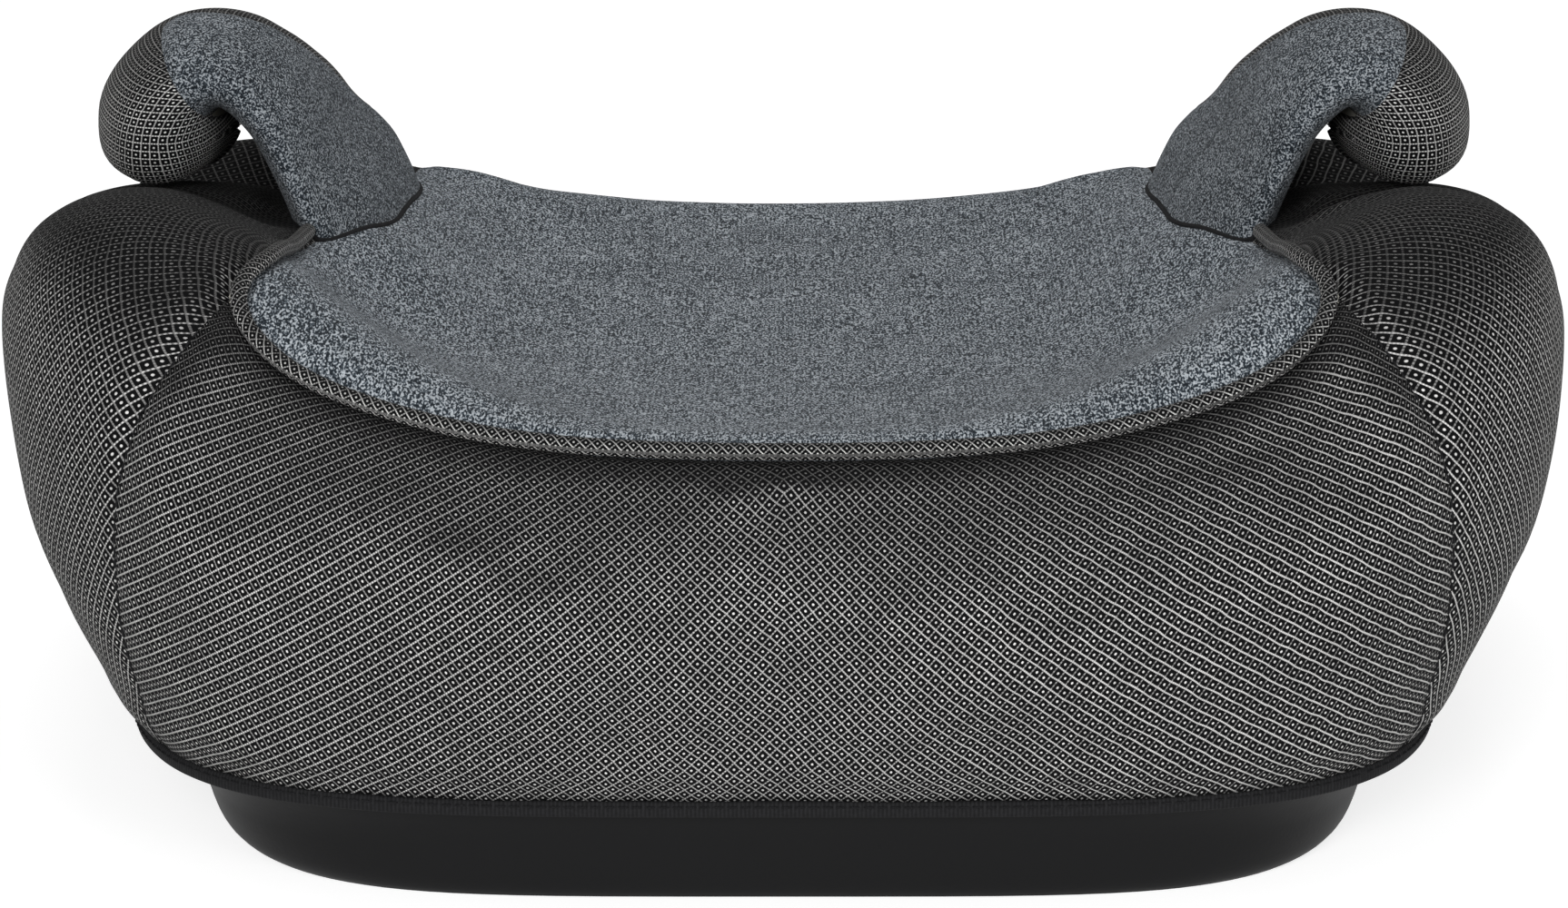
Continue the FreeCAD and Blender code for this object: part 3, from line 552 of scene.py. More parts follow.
LATTICE_EDGE = (0.395, 0.455)         # of a cell, from its middle: where a lattice line starts
DOT_EDGE = (0.09, 0.16)
FOUR_TURNS, THREE_TURNS = 25.13, 18.85        # twist of the yarns within one cell
MESH_GROUND = (0.0022, 0.0022, 0.0025, 1)
MESH_THREAD = (0.86, 0.85, 0.835)
WALE_PITCH, COURSE_PITCH = 0.0013, 0.0010
MELANGE_STOPS = [(0.12, (0.014, 0.019, 0.025)), (0.52, (0.088, 0.110, 0.132)),
                 (0.92, (0.52, 0.56, 0.60))]

MESH = mesh_knit("mesh_knit", 0.00265)
MESH_HORN = mesh_knit("mesh_knit_horn", 0.00245, diagonal=False, balance=False, stretch=0.5)
MESH_SIDE = mesh_knit("mesh_knit_side", 0.0033)
MESH_PIPING = mesh_knit("mesh_knit_piping", 0.0022, tone=0.95, balance=False, stretch=0.55)
MELANGE = melange_knit("melange_knit", tone=0.91, grain=1800.0, draw=0.42)
MELANGE_HORN = melange_knit("melange_knit_horn", tone=0.68, grain=1800.0, draw=0.6)
PLASTIC = plastic("base_plastic", (0.004, 0.0041, 0.0045), 0.55)
CORE = plastic("core_plastic", (0.02, 0.02, 0.021), 0.5)
FOAM = plastic("pad_foam", (0.42, 0.41, 0.36), 0.9, 500.0)
STEEL = plastic("screw_steel", (0.45, 0.45, 0.46), 0.35)
STEEL.node_tree.nodes["Principled BSDF"].inputs["Metallic"].default_value = 1.0
TAPE = tape("hem_tape", (0.012, 0.012, 0.013), 0.0011)
ELASTIC = tape("elastic", (0.012, 0.012, 0.012), 0.0014)
THREAD = tape("thread", (0.010, 0.010, 0.011), 0.0004)

# ------------------------------------------------------------------ whole cover
PATCH_T = 0.3                 # the middle of the seat inside this ring is a square patch
SIDE_CELLS = 150              # cells on each quarter of the perimeter
ROWS = 118
AROUND = 4 * SIDE_CELLS
theta = np.linspace(-math.pi / 4, math.pi / 4, SIDE_CELLS + 1)
knots = np.sin(theta) * math.sqrt(2)
sx, sy = np.meshgrid(knots, knots, indexing="ij")
px = sx * np.sqrt(1 - sy * sy / 2)
py = sy * np.sqrt(1 - sx * sx / 2)
patch_t = PATCH_T * np.sqrt(px * px + py * py)
patch_angle = np.arctan2(py, px)
ring_angle = (np.arange(AROUND) - SIDE_CELLS / 2) * (TURN / AROUND)
ring_t = PATCH_T + (1 - PATCH_T) * np.linspace(0, 1, ROWS + 1)[1:]
n = SIDE_CELLS + 1             # vertices on each side of the patch
patch_points = cover(patch_angle.ravel(), patch_t.ravel())
ring_points = cover(ring_angle[None, :], ring_t[:, None])

# Border of the patch in the order of the ring: right side, rear, left, front
border = ([(n - 1) * n + j for j in range(n - 1)]
          + [i * n + n - 1 for i in range(n - 1, 0, -1)]
          + [j for j in range(n - 1, 0, -1)] + [i * n for i in range(n - 1)])
faces = [[i * n + j, (i + 1) * n + j, (i + 1) * n + j + 1, i * n + j + 1]
         for i in range(n - 1) for j in range(n - 1)]
start = n * n
for j in range(AROUND):
    k = (j + 1) % AROUND
    faces.append([border[j], start + j, start + k, border[k]])
faces += [[a + start for a in f] for f in quads(ROWS, AROUND)]

points = np.concatenate([patch_points, ring_points.reshape(-1, 3)])
t = np.concatenate([patch_t.ravel(), np.repeat(ring_t, AROUND)])

# Lengths over the cloth: round the rings from the front, side and rear middles, and up from the hem
around_step = np.linalg.norm(np.roll(ring_points, -1, 1) - ring_points, axis=2)
run = np.cumsum(around_step, axis=1) - around_step


def run_from(column):
    """Length round each ring from a column, negative clockwise of it."""
    total = around_step.sum(1, keepdims=True)
    length = run - run[:, column:column + 1]
    length = np.where(length > total / 2, length - total, length)
    return np.where(length < -total / 2, length + total, length)


up_step = np.linalg.norm(np.diff(ring_points, axis=0), axis=2)
rise = np.concatenate([np.cumsum(up_step[::-1], axis=0)[::-1], np.zeros((1, AROUND))])
OUTER_T = 0.75                # ring where the cover is widest; the sides' grain follows it
outer_row = int(round((OUTER_T - PATCH_T) / (1 - PATCH_T) * ROWS)) - 1
filler = np.zeros(n * n)
along = {}
for quarter, key in enumerate(("right", "rear", "left", "front")):
    lengths_round = run_from(SIDE_CELLS // 2 + quarter * SIDE_CELLS)
    if key in ("left", "right"):
        lengths_round = np.tile(lengths_round[outer_row], ROWS)
    along[key] = np.concatenate([filler, lengths_round.ravel()])
height = np.concatenate([filler, rise.ravel()])

# ------------------------------------------------------------------ seams and creases
mirrored_outline = [(-x, y) for x, y in reversed(SEAT_OUTLINE[1:])]
outline = curve_through(mirrored_outline + SEAT_OUTLINE, 2400)
outline = outline[np.abs(outline[:, 1]) < 260]


def inside_outline(x, y):
    """Signed distance in plan to the seat outline, positive inside."""
    tree = tree_of((a, b, 0) for a, b in outline)
    order = outline[outline[:, 0] >= 0]
    width = np.interp(y, order[:, 1], order[:, 0])
    front = order[np.argmax(order[:, 0])][1]
    lead = order[order[:, 1] <= front]
    reach = np.interp(np.abs(x), lead[:, 0], lead[:, 1])
    inside = np.where(y > front, np.abs(x) < width,
                      (np.abs(x) < lead[:, 0].max()) & (y > reach))
    distance = np.array([tree.find((a, b, 0))[2] for a, b in zip(x, y)])
    return np.where(inside, distance, -distance)


seat_field = inside_outline(points[:, 0], points[:, 1])
seat_field = np.where(points[:, 1] > 0, np.minimum(seat_field, points[:, 2] - REAR_SEAM_Z),
                      seat_field)
seat_field = np.where(t > OUTER_T, -20.0, seat_field)
side_curve = curve_through(SIDE_SEAM, 600)
order = np.argsort(side_curve[:, 1])
side_x = np.interp(points[:, 2], side_curve[order, 1], side_curve[order, 0])
front_field = np.minimum(side_x - np.abs(points[:, 0]), CORNER_Y - points[:, 1])
rear_field = np.minimum(np.minimum(REAR_CORNER_X - np.abs(points[:, 0]),
                                   points[:, 1] - REAR_PANEL_Y),
                        REAR_SEAM_Z - points[:, 2])

cloth_faces = faces
base_normals = vertex_normals(points, cloth_faces)
if base_normals[0, 2] < 0:
    cloth_faces = flipped(cloth_faces)
    base_normals = -base_normals


def zero_line(field, other, band):
    """Points of the mesh edges where field crosses zero and the other field is positive."""
    found = []
    grid = np.array([f for f in cloth_faces if len(f) == 4])
    for k in range(4):
        a, b = grid[:, k], grid[:, (k + 1) % 4]
        cross = (field[a] * field[b] < 0) & (other[a] > band)
        a, b = a[cross], b[cross]
        u = (field[a] / (field[a] - field[b]))[:, None]
        found.append(points[a] + (points[b] - points[a]) * u)
    return np.concatenate(found)


ones = np.ones(len(points))
seat_line = zero_line(seat_field, ones, 0)
side_line = zero_line(np.where(points[:, 1] < CORNER_Y + 30, side_x - np.abs(points[:, 0]), 99.0),
                      np.minimum(-seat_field, CORNER_Y + 2 - points[:, 1]), -2)
rear_line = zero_line(rear_field, ones, 0)
d_seat, d_side, d_rear = gap(seat_line), gap(side_line), gap(rear_line)
d_seam = np.minimum(np.minimum(d_seat, d_side), d_rear)

# How far the cloth stands off the smooth surface, along its normals
x, y, z = points.T
width = np.abs(x)
ahead_of_horn = smooth(-5, -35, y)
high = smooth(100, 140, z) * (y < 0)
upper, lower = t < 0.8, t > 0.8
on_mesh = seat_field < 0
lumps = noise(points, 34.0, 3) * BROAD_LUMP + noise(points, 15.0, 5) * FINE_LUMP
push = lumps * smooth(2, 14, d_seam) * smooth(1.0, 0.97, t)
push -= SEAT_GROOVE * ridge(d_seat, SEAT_GROOVE_WIDTH) * np.where(y > 80, 0.4, 1.0)
push += SEAT_ROLL * ridge(d_seat - SEAT_ROLL_FROM_SEAM, SEAT_ROLL_WIDTH) * ahead_of_horn * on_mesh
push -= (CREASE_LOW + CREASE_HIGH * high) * ridge(d_side, CREASE_WIDTH + CREASE_WIDTH_HIGH * high)
push += (CORNER_PUFF * high * ridge(d_side - CORNER_PUFF_FROM_SEAM, CORNER_PUFF_WIDTH)
         * (front_field > 0) * on_mesh)
push -= REAR_GROOVE * ridge(d_rear, REAR_GROOVE_WIDTH)
climb = smooth(66, 120, width) * smooth(152, 130, width) * smooth(-75, 15, y) * smooth(178, 150, y)
climb *= ROOT_CLIMB * (1 - 0.55 * smooth(50, 140, y)) * upper
push += climb
push += HEM_PUFF * ridge(height - HEM_PUFF_UP, HEM_PUFF_WIDTH) * lower
cover_points = points + base_normals * push[:, None]
gathered = smooth(138, 156, width) * smooth(212, 186, width) * smooth(66, 100, y)
cover_points[:, 2] += GAP_CLOTH * gathered * smooth(158, 116, y) * upper


def simulated(start_points, sheet_faces, hold, frames, pressure, slack):
    """Blender's cloth on a mesh in millimetres: held vertices stay, the rest swells."""
    mesh = bpy.data.meshes.new("cloth_trial")
    mesh.from_pydata((start_points * MM).tolist(), [], sheet_faces)
    obj = bpy.data.objects.new("cloth_trial", mesh)
    bpy.context.collection.objects.link(obj)
    group = obj.vertex_groups.new(name="held")
    for i in np.where(hold > 0)[0]:
        group.add([int(i)], float(hold[i]), "REPLACE")
    modifier = obj.modifiers.new("cloth", "CLOTH")
    settings = modifier.settings
    settings.vertex_group_mass = "held"
    settings.use_pressure = True
    settings.uniform_pressure_force = pressure
    settings.shrink_min = -slack
    settings.effector_weights.gravity = 0
    modifier.point_cache.frame_start = 1
    modifier.point_cache.frame_end = frames
    for frame_number in range(1, frames + 1):
        bpy.context.scene.frame_set(frame_number)
    settled = obj.evaluated_get(bpy.context.evaluated_depsgraph_get()).to_mesh()
    out = np.empty(len(settled.vertices) * 3)
    settled.vertices.foreach_get("co", out)
    bpy.context.scene.frame_set(1)
    bpy.data.objects.remove(obj)
    bpy.data.meshes.remove(mesh)
    return out.reshape(-1, 3) / MM


# The stretched panels swell between their seams: simulated on a coarse net of the cover, whose
# move along the normals is carried over to the fine cloth
net_rows = list(range(NET_ROW - 1, ROWS - 1, NET_ROW)) + [ROWS - 1]
net_columns = np.arange(0, AROUND, NET_COLUMN)
index = np.array([n * n + r * AROUND + net_columns for r in net_rows])
net = cover_points[index].reshape(-1, 3)
across = len(net_columns)
net_faces = quads(len(net_rows), across)
a, b, c = net[net_faces[0][0]], net[net_faces[0][1]], net[net_faces[0][3]]
if np.dot(np.cross(b - a, c - a), base_normals[index[0, 0]]) < 0:
    net_faces = flipped(net_faces)
hold = (d_seam[index].ravel() < NET_HOLD) * 1.0
hold[:2 * across] = 1.0
hold[-across:] = 1.0
moved = simulated(net, net_faces, hold, SIM_FRAMES, SIM_PRESSURE, SIM_SLACK) - net
swell = (moved * base_normals[index].reshape(-1, 3)).sum(1).reshape(len(net_rows), across)
swell = np.clip(swell, -SWELL_DIP, SWELL_CAP)
places = np.arange(AROUND) / NET_COLUMN
low = places.astype(int)
share = smooth(0, 1, places - low)
fine = swell[:, low] * (1 - share) + swell[:, (low + 1) % across] * share
spread = np.array([np.interp(np.arange(ROWS), net_rows, column) for column in fine.T]).T
for _ in range(3):
    spread = (np.roll(spread, 1, 1) + spread + np.roll(spread, -1, 1)) / 3
    padded = np.concatenate([spread[:1], spread, spread[-1:]])
    spread = (padded[:-2] + padded[1:-1] + padded[2:]) / 3
swelling = np.concatenate([np.zeros(n * n), spread.ravel()])
swelling *= smooth(0.34, 0.45, t) * smooth(0, 5, d_seam)
swelling -= smooth(150, 205, width) * np.clip(swelling, 0, SIDE_TRIM)
cover_points += base_normals * swelling[:, None]

whole = Cloth(cover_points, cloth_faces, x0=x, y0=y, seat=seat_field, front=front_field,
              rear=rear_field, a_front=along["front"], a_rear=along["rear"],
              a_right=along["right"], a_left=along["left"], up=height)

made = {}


def panel(name, steps, u, v, material):
    """Cuts a panel from the whole cover by fields, with its own grain u, v."""
    part = whole
    for pick in steps:
        part = clipped(part, pick(part))
    part.v["u"] = u(part)
    part.v["v"] = v(part)
    made[name] = piece(name + "_cloth", part, material, COVER_CLOTH)


def value(key, sign=1):
    return lambda c: sign * c.v[key]


def front_grain(c):
    """The weave of the front panel sags to its middle, as the cloth is drawn up at the corners."""
    return c.v["up"] - 0.0016 * c.v["a_front"] ** 2


not_seat = value("seat", -1)
panel("seat_panel", [value("seat")], value("x0"), value("y0"), MELANGE)
panel("front_panel", [not_seat, value("front")], value("a_front"), front_grain, MESH)
panel("rear_panel", [not_seat, value("rear")], value("a_rear"), value("up"), MESH)
for tag, sign, key in (("left", 1, "a_right"), ("right", -1, "a_left")):
    panel("side_panel_" + tag,
          [not_seat, value("front", -1), value("rear", -1), value("x0", sign)],
          value(key), value("up"), MESH_SIDE)


# ------------------------------------------------------------------ horns
def horn_row(s):
    """Values of the horn's section at a share of its length, smoothly through the stations."""
    last = len(HORN_STATIONS) - 1
    place = np.clip(s, 0, 1) * last
    i = np.minimum(place.astype(int), last - 1)
    u = (place - i)[..., None]
    padded = np.concatenate([2 * HORN_STATIONS[:1] - HORN_STATIONS[1:2], HORN_STATIONS,
                             2 * HORN_STATIONS[-1:] - HORN_STATIONS[-2:-1]])
    p0, p1, p2, p3 = padded[i], padded[i + 1], padded[i + 2], padded[i + 3]
    return 0.5 * (2 * p1 + (p2 - p0) * u + (2 * p0 - 5 * p1 + 4 * p2 - p3) * u ** 2
                  + (3 * p1 - p0 - 3 * p2 + p3) * u ** 3)


def horn(s, psi):
    """Point of the horn and its place across the section, positive towards the seat side."""
    s, psi = np.broadcast_arrays(np.asarray(s, float), np.asarray(psi, float))
    row = horn_row(s)
    step = horn_row(s + 0.002) - horn_row(s - 0.002)
    size = np.hypot(step[..., 0], step[..., 1])
    nx, nz = -step[..., 1] / size, step[..., 0] / size
    cx, cz, half, middle, length = np.moveaxis(row, -1, 0)
    u = np.clip((s - TIP_START) / TIP_LENGTH, 0, 1)
    tip = np.sqrt(np.maximum(1 - u ** TIP_POWER, 0))
    half = half * tip
    length = length * (0.55 + 0.45 * tip)
    sine = np.sin(psi)
    ease = np.clip((s - 0.39) / 0.35, 0, 1)
    side = half * (1 + (0.4 - 0.25 * ease) * sine) * spow(np.cos(psi), 2 / SIDE_POWER)
    share = side / np.maximum(row[..., 2], 1)
    flare = 1 + ROOT_FLARE * np.maximum(sine, 0) ** 2 * smooth(0.38, 0.26, s)
    side = np.where(side < 0, side * flare, side)
    reach = length * spow(sine, 2 / REACH_POWER)
    lean = 0.3 * np.clip((s - 0.34) / 0.26, 0, 1)
    sag = lean * (reach + np.sqrt(reach * reach + 400) - 20) / 2
    return np.stack([cx + nx * side, middle + reach, cz + nz * side - sag], -1), share


H_ROWS, H_AROUND = 150, 176
s_line = np.linspace(0.03, 1, H_ROWS)
s_line = np.where(s_line > TIP_START,
                  TIP_START + TIP_LENGTH * np.sin((s_line - TIP_START) / TIP_LENGTH * math.pi / 2),
                  s_line)
psi_line = np.linspace(0, TURN, H_AROUND, endpoint=False)
psi_line = psi_line - 0.12 * np.sin(4 * psi_line)      # closer columns at the section's corners
hp, hside = horn(s_line[:, None], psi_line[None, :])
hs = np.repeat(s_line, H_AROUND)
along_s = np.linalg.norm(np.diff(hp, axis=0), axis=2)
from_tip = np.concatenate([np.cumsum(along_s[::-1], axis=0)[::-1], np.zeros((1, H_AROUND))])
round_step = np.linalg.norm(np.roll(hp, -1, 1) - hp, axis=2)
girth = np.cumsum(round_step, axis=1) - round_step
front_column = int(np.argmin(np.abs(psi_line - 1.5 * math.pi)))
girth = girth - girth[:, front_column:front_column + 1]
horn_points = hp.reshape(-1, 3)
horn_faces = quads(H_ROWS, H_AROUND)
horn_normals = vertex_normals(horn_points, horn_faces)
outward = (horn_points - np.repeat(horn_row(s_line)[:, [0, 3, 1]], H_AROUND, 0)) * horn_normals
if outward.sum() < 0:
    horn_faces = flipped(horn_faces)
    horn_normals = -horn_normals

# The insert covers the seat side: it ends short of the belt-gap side, of the lobe, and at the
# rear along a slope from the root to the crest. The three limits meet in rounded corners.
CREST_Z, ROOT_Z = 186.5, 127.0
CREST_EDGE_Y, ROOT_EDGE_Y = 52.0, 150.0
INSERT_SIDE, INSERT_END = 0.72, 0.745
CORNER_SOFTNESS = 3.0
hy, hz = horn_points[:, 1], horn_points[:, 2]
hside = hside.ravel()
slope = (CREST_EDGE_Y - ROOT_EDGE_Y) / (CREST_Z - ROOT_Z)
limits = ((hside + INSERT_SIDE) * 14.0, (INSERT_END - hs) * 190.0,
          (ROOT_EDGE_Y + slope * (hz - ROOT_Z) - hy) * 0.53)
insert_field = 0.5 - CORNER_SOFTNESS * np.log(sum(np.exp(-f / CORNER_SOFTNESS) for f in limits))

hpush = noise(horn_points, 22.0, 11) * 0.35 + noise(horn_points, 9.0, 12) * 0.12
hpush += 0.5 * ridge(insert_field - 4, 3.5) - 0.8 * ridge(insert_field, 1.4)
# The sleeve gathers in folds on the belt-gap side of the root
gapside = smooth(0.1, 0.8, -hside) * smooth(0.62, 0.45, hs)
folds = np.sin((hz * 0.85 + hy * 0.45) / 4.2 + 1.6 * noise(horn_points, 26.0, 13))
hpush += gapside * (0.9 * folds * smooth(-0.2, 0.8, noise(horn_points, 30.0, 14)))
# It never sinks into the pad there, and lies smooth in the crotch under the arch
hpush = np.where(hside < 0.3, np.maximum(hpush, 0.1), hpush)
crotch = smooth(0.42, 0.52, hs) * smooth(0.90, 0.82, hs) * smooth(0.35, -0.1, hside)
hpush = hpush * (1 - crotch) + 0.2 * crotch
# The lobe hangs down to the bolster, and the rear of the arch into the gap
hpush += LOBE_DROP * smooth(0.86, 0.97, hs) * np.clip(-horn_normals[:, 2], 0, 1)
hpush += (LOBE_REAR * (1 - crotch) * smooth(52, 88, hy) * smooth(0.0, 0.6, -hside)
          * smooth(0.12, 0.25, hs) * smooth(0.92, 0.7, hs))
hpush *= smooth(1.0, 0.985, hs)
horn_cloth = Cloth(horn_points + horn_normals * hpush[:, None], horn_faces, u=girth.ravel(),
                   v=from_tip.ravel(), insert=insert_field)


def mirrored(cloth):
    return Cloth(cloth.p * np.array([-1, 1, 1]), flipped(cloth.f), **cloth.v)


for tag in ("left", "right"):
    body = horn_cloth if tag == "left" else mirrored(horn_cloth)
    for kind, sign, material in (("horn_insert_", 1, MELANGE_HORN),
                                 ("horn_sleeve_", -1, MESH_HORN)):
        cut = clipped(body, sign * body.v["insert"])
        made[kind + tag] = piece(kind + tag + "_cloth", cut, material, HORN_CLOTH)


# ------------------------------------------------------------------ sweeps
def frames(spine, closed=False):
    """Tangent, level side and upright direction at each point of a line."""
    if closed:
        tangent = np.roll(spine, -1, 0) - np.roll(spine, 1, 0)
    else:
        tangent = np.gradient(spine, axis=0)
    tangent /= np.linalg.norm(tangent, axis=1)[:, None]
    across = np.cross(tangent, [0, 0, 1])
    across /= np.linalg.norm(across, axis=1)[:, None]
    return tangent, across, np.cross(across, tangent)


def sweep(name, spine, section, material, closed=False, ends=0.0):
    """Runs a closed section (across, up) along a spine; the ends round off over a length."""
    spine = np.asarray(spine, float)
    section = np.asarray(section, float)
    tangent, across, upright = frames(spine, closed)
    length = lengths(spine)
    scale = np.ones(len(spine))
    if ends:
        from_end = np.minimum(length, length[-1] - length)
        scale = np.sqrt(np.clip(1 - (1 - np.clip(from_end / ends, 0, 1)) ** 2, 0.0004, 1))
    m = len(section)
    ring = (spine[:, None] + across[:, None] * (section[None, :, :1] * scale[:, None, None])
            + upright[:, None] * (section[None, :, 1:] * scale[:, None, None]))
    faces = quads(len(spine), m)
    if closed:
        last = (len(spine) - 1) * m
        faces += [[last + j, j, (j + 1) % m, last + (j + 1) % m] for j in range(m)]
    else:
        faces += [list(range(m)), [(len(spine) - 1) * m + j for j in reversed(range(m))]]
    body = Cloth(ring.reshape(-1, 3), faces, u=np.repeat(length, m),
                 v=np.tile(lengths(section), len(spine)))
    return piece(name, outward_faces(body, np.repeat(spine, m, 0)), material)


def lift(line):
    """Points and normals of the cover over a line in plan, from the nearest mesh points."""
    raised = points + base_normals * climb[:, None]
    tree = tree_of((p[0], p[1], 0) for p in raised)
    rows = []
    for a, b in line:
        found = [f for f in tree.find_n((a, b, 0), 12) if t[f[1]] < OUTER_T][:6]
        w = np.array([1 / (f[2] + 0.2) ** 2 for f in found])
        i = [f[1] for f in found]
        both = np.stack([raised[i], base_normals[i]])
        rows.append((both * w[None, :, None]).sum(1) / w.sum())
    rows = np.array(rows)
    return rows[:, 0], rows[:, 1]


def smoothed(values, width):
    """A line evened out over a number of its points to either side."""
    kernel = np.hanning(2 * width + 3)[1:-1]
    kernel /= kernel.sum()
    pad = np.concatenate([np.repeat(values[:1], width, 0), values,
                          np.repeat(values[-1:], width, 0)])
    return np.stack([np.convolve(pad[:, k], kernel, "valid") for k in range(3)], -1)


def circle(count, radius):
    turn = np.linspace(0, TURN, count, endpoint=False)
    return np.stack([np.cos(turn), np.sin(turn)], -1) * radius


# Seam round the foot of each horn, where its sleeve dips into the cover
FAR = 1e4
plan_tree = tree_of((p[0], p[1], 0 if t[i] < 0.72 else FAR) for i, p in enumerate(cover_points))
foot = []
grid = horn_cloth.p.reshape(H_ROWS, H_AROUND, 3)
for j in range(H_AROUND):
    for i in range(H_ROWS // 2, 0, -1):
        q = grid[i, j]
        near = plan_tree.find_n((q[0], q[1], 0), 4)
        if q[2] < sum(cover_points[k][2] for _, k, _ in near) / 4:
            foot.append(grid[i, j] * 0.5 + grid[i + 1, j] * 0.5)
            break
foot = np.array(foot)
for _ in range(12):
    foot = (np.roll(foot, 1, 0) + foot * 2 + np.roll(foot, -1, 0)) / 4
foot_out = foot - foot.mean(0)
foot_out[:, 2] = 0
foot += foot_out / np.linalg.norm(foot_out, axis=1)[:, None] * 0.3
for tag, sign in (("left", 1), ("right", -1)):
    made["foot_seam_" + tag] = sweep("foot_seam_cord_" + tag, foot * np.array([sign, 1, 1]),
                                     circle(8, FOOT_CORD), THREAD, closed=True)

# Piping round the front of the seat panel; it runs out under the front of each horn
horn_nose = HORN_Y - HORN_HALF_LENGTH - 2.0
track = outline[outline[:, 1] < horn_nose][::3]
on_cover, cover_out = lift(track)
plan = np.concatenate([track, on_cover[:, 2:]], 1)
cover_out /= np.linalg.norm(cover_out, axis=1)[:, None]
spine = smoothed(plan + cover_out * 1.7, 5)
made["seat_piping"] = sweep("seat_piping_cord", spine, circle(16, PIPING_RADIUS), MESH_PIPING,
                            ends=3.0)

# Folded tape round the hem, a little proud of the cloth, with a row of stitches
normal_xy = base_normals[-AROUND:] * np.array([1, 1, 0])
normal_xy /= np.linalg.norm(normal_xy, axis=1)[:, None]
hem_line = ring_points[-1] - normal_xy * HEM_TAPE_INSET
hem_line[:, 2] = HEM_TAPE_Z
across, upward = circle(24, 1.0).T
band = np.stack([spow(across, 0.55) * 2.5, spow(upward, 0.5) * 2.35], -1)
made["hem_binding"] = sweep("hem_binding_tape", hem_line, band, TAPE, closed=True)


def stitches(name, spine, out, length, pitch, radius):
    """A row of short raised thread loops along a line on the cloth."""
    run = lengths(spine)
    loop_faces = quads(LOOP_RINGS, LOOP_SIDES)
    last = (LOOP_RINGS - 1) * LOOP_SIDES
    loop_faces += [list(range(LOOP_SIDES)), [last + j for j in reversed(range(LOOP_SIDES))]]
    arch = np.sqrt(np.clip(1 - np.linspace(-1, 1, LOOP_RINGS) ** 4, 0.02, 1))
    all_points, all_faces = [], []
    place = pitch / 2
    while place < run[-1] - pitch / 2:
        s = place + np.linspace(-length / 2, length / 2, LOOP_RINGS)
        line = np.stack([np.interp(s, run, spine[:, k]) for k in range(3)], -1)
        face_out = np.array([np.interp(place, run, out[:, k]) for k in range(3)])
        face_out /= np.linalg.norm(face_out)
        tangent = line[-1] - line[0]
        across = np.cross(tangent / np.linalg.norm(tangent), face_out)
        all_faces += [[len(all_points) + a for a in f] for f in loop_faces]
        for centre, rise in zip(line, arch):
            centre = centre + face_out * radius * (1.1 * rise - 0.7)
            for c, d in circle(LOOP_SIDES, radius * (0.45 + 0.55 * rise)):
                all_points.append(centre + across * c + face_out * d)
        place += pitch
    p = np.array(all_points)
    count = LOOP_RINGS * LOOP_SIDES
    first = outward_faces(Cloth(p[:count], loop_faces), p[:count].mean(0))
    if first.f is not loop_faces:
        all_faces = flipped(all_faces)
    return piece(name, Cloth(p, all_faces, u=p[:, 0], v=p[:, 2]), THREAD)


def seam_run(line, sign):
    """One side seam evened out from the top down, and the way out of the cloth along it."""
    top, step = 152, 1.6
    own = line[(line[:, 0] * sign > 0) & (line[:, 2] < top)]
    levels = np.arange(own[:, 2].max() - 1, own[:, 2].min() + 1, -step)
    mean = np.array([own[np.abs(own[:, 2] - level) < step].mean(0) for level in levels])
    mean = smoothed(mean, 4)
    tree = tree_of(points)
    near = [tree.find(p)[1] for p in mean]
    return mean + base_normals[near] * push[near][:, None], base_normals[near]


# Side seams: rows of dark thread loops, partly the seam's own stitching and partly painted shade
# standing in for the dark groove of the seam's crease
for tag, sign in (("left", 1), ("right", -1)):
    seam, seam_out = seam_run(side_line, sign)
    made["side_seam_" + tag] = stitches("side_seam_stitches_" + tag, seam, seam_out, 2.7, 3.4,
                                        THREAD_RADIUS)

stitch_line = ring_points[-1] + normal_xy * HEM_STITCH_OUT
stitch_line[:, 2] = HEM_STITCH_Z
made["hem_stitches"] = stitches("hem_stitches", np.concatenate([stitch_line, stitch_line[:1]]),
                                np.concatenate([normal_xy, normal_xy[:1]]), 2.6, 3.6, HEM_THREAD)


def kind_of(name):
    return name.replace("_left", "").replace("_right", "")


for name, obj in made.items():
    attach(obj, "root")
    key = kind_of(name)
    if key not in ("hem_stitches", "side_seam", "foot_seam"):
        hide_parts(name)

finish = {"base_shell": PLASTIC, "horn_core": CORE, "horn_screws": STEEL, "hem_elastic": ELASTIC}
for name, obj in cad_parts.items():
    material = finish.get(kind_of(name), FOAM)
    if obj.data.materials:
        for i in range(len(obj.data.materials)):
            obj.data.materials[i] = material
    else:
        obj.data.materials.append(material)

# ------------------------------------------------------------------ floor, light and camera
FLOOR = 6.0                   # metres to each side
PAPER_GLOW = 0.72             # only camera and glossy rays see it; no light on the seat comes of it
WORLD_LIGHT = 0.34
floor_mesh = bpy.data.meshes.new("floor")
corners = [(a * FLOOR, b * FLOOR, 0) for a, b in ((-1, -1), (1, -1), (1, 1), (-1, 1))]
floor_mesh.from_pydata(corners, [], [(0, 1, 2, 3)])
floor = bpy.data.objects.new("floor", floor_mesh)
bpy.context.collection.objects.link(floor)
fm = Nodes("floor_paper")
fm.finish((0.6, 0.6, 0.6, 1), 0.9, 0.1)
glow = fm.tree.nodes.new("ShaderNodeEmission")
glow.inputs["Color"].default_value = (1, 1, 1, 1)
rays = fm.tree.nodes.new("ShaderNodeLightPath")
seen = fm.plus(rays.outputs["Is Camera Ray"], rays.outputs["Is Glossy Ray"])
seen = fm.math("MINIMUM", seen, 1.0)
fm.link(fm.times(seen, PAPER_GLOW), glow.inputs["Strength"])
add = fm.tree.nodes.new("ShaderNodeAddShader")
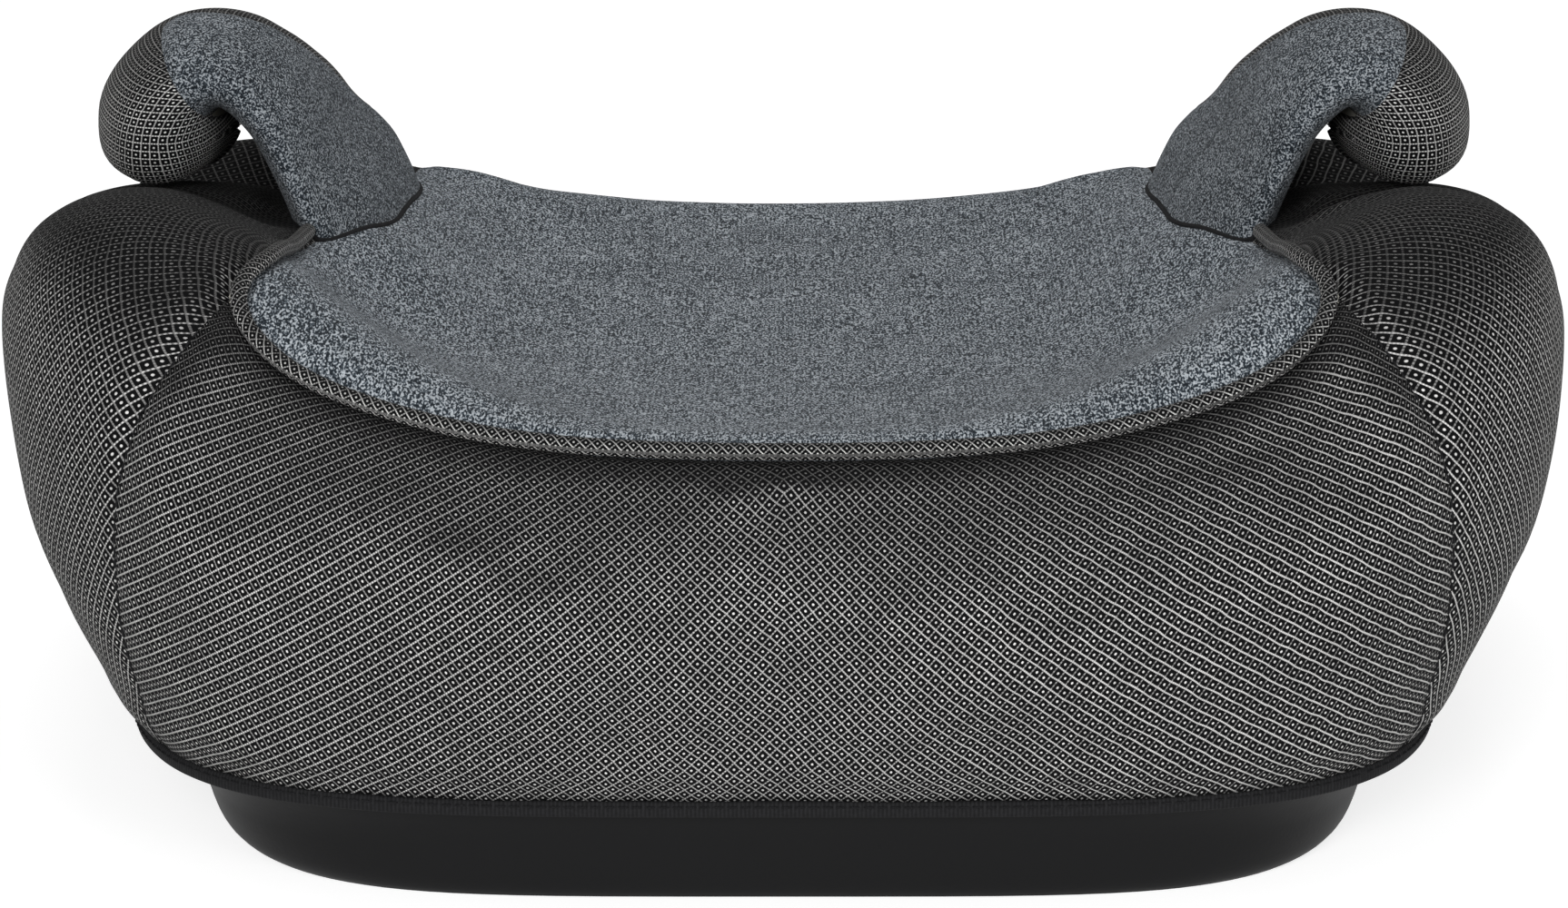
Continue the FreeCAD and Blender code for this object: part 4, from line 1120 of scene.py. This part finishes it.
fm.link(fm.bsdf.outputs[0], add.inputs[0])
fm.link(glow.outputs[0], add.inputs[1])
fm.link(add.outputs[0], fm.out.inputs["Surface"])
floor_mesh.materials.append(fm.material)

world = bpy.data.worlds.new("studio")
bpy.context.scene.world = world
world.use_nodes = True
wt = world.node_tree
background = wt.nodes["Background"]
path = wt.nodes.new("ShaderNodeLightPath")
level = wt.nodes.new("ShaderNodeMapRange")
level.inputs["To Min"].default_value = WORLD_LIGHT
level.inputs["To Max"].default_value = 1.0
wt.links.new(path.outputs["Is Camera Ray"], level.inputs["Value"])
wt.links.new(level.outputs[0], background.inputs["Strength"])
background.inputs["Color"].default_value = (1, 1, 1, 1)

target = Vector((0, 0.0, 0.09))


def lamp(name, place, size, watts):
    data = bpy.data.lights.new(name, "AREA")
    data.shape = "RECTANGLE"
    data.size, data.size_y = size
    data.energy = watts
    obj = bpy.data.objects.new(name, data)
    obj.location = place
    obj.rotation_euler = (target - Vector(place)).to_track_quat("-Z", "Y").to_euler()
    bpy.context.collection.objects.link(obj)


lamp("key", (-0.35, -1.8, 0.75), (0.8, 0.6), 19)
lamp("fill", (1.0, -1.5, 0.6), (0.9, 0.9), 8)
lamp("top", (0, 0.5, 1.9), (1.2, 1.2), 8)

ELEVATION = math.radians(15)
AIM_DROP = math.radians(1.064)        # the lens looks a little below the aim point
DISTANCE = 1.6
SENSOR, LENS = 36, 123.893
aim_point = Vector((0, 0.0226, 0.1))
camera_data = bpy.data.cameras.new("camera")
camera_data.sensor_width = SENSOR
camera_data.lens = LENS
camera_data.clip_start, camera_data.clip_end = 0.1, 50
camera = bpy.data.objects.new("camera", camera_data)
camera.location = aim_point + Vector((0, -math.cos(ELEVATION), math.sin(ELEVATION))) * DISTANCE
drop = ELEVATION + AIM_DROP
sight = Vector((0, math.cos(drop), -math.sin(drop)))
camera.rotation_euler = sight.to_track_quat("-Z", "Y").to_euler()
bpy.context.collection.objects.link(camera)
bpy.context.scene.camera = camera
bpy.context.scene.view_settings.view_transform = "Standard"
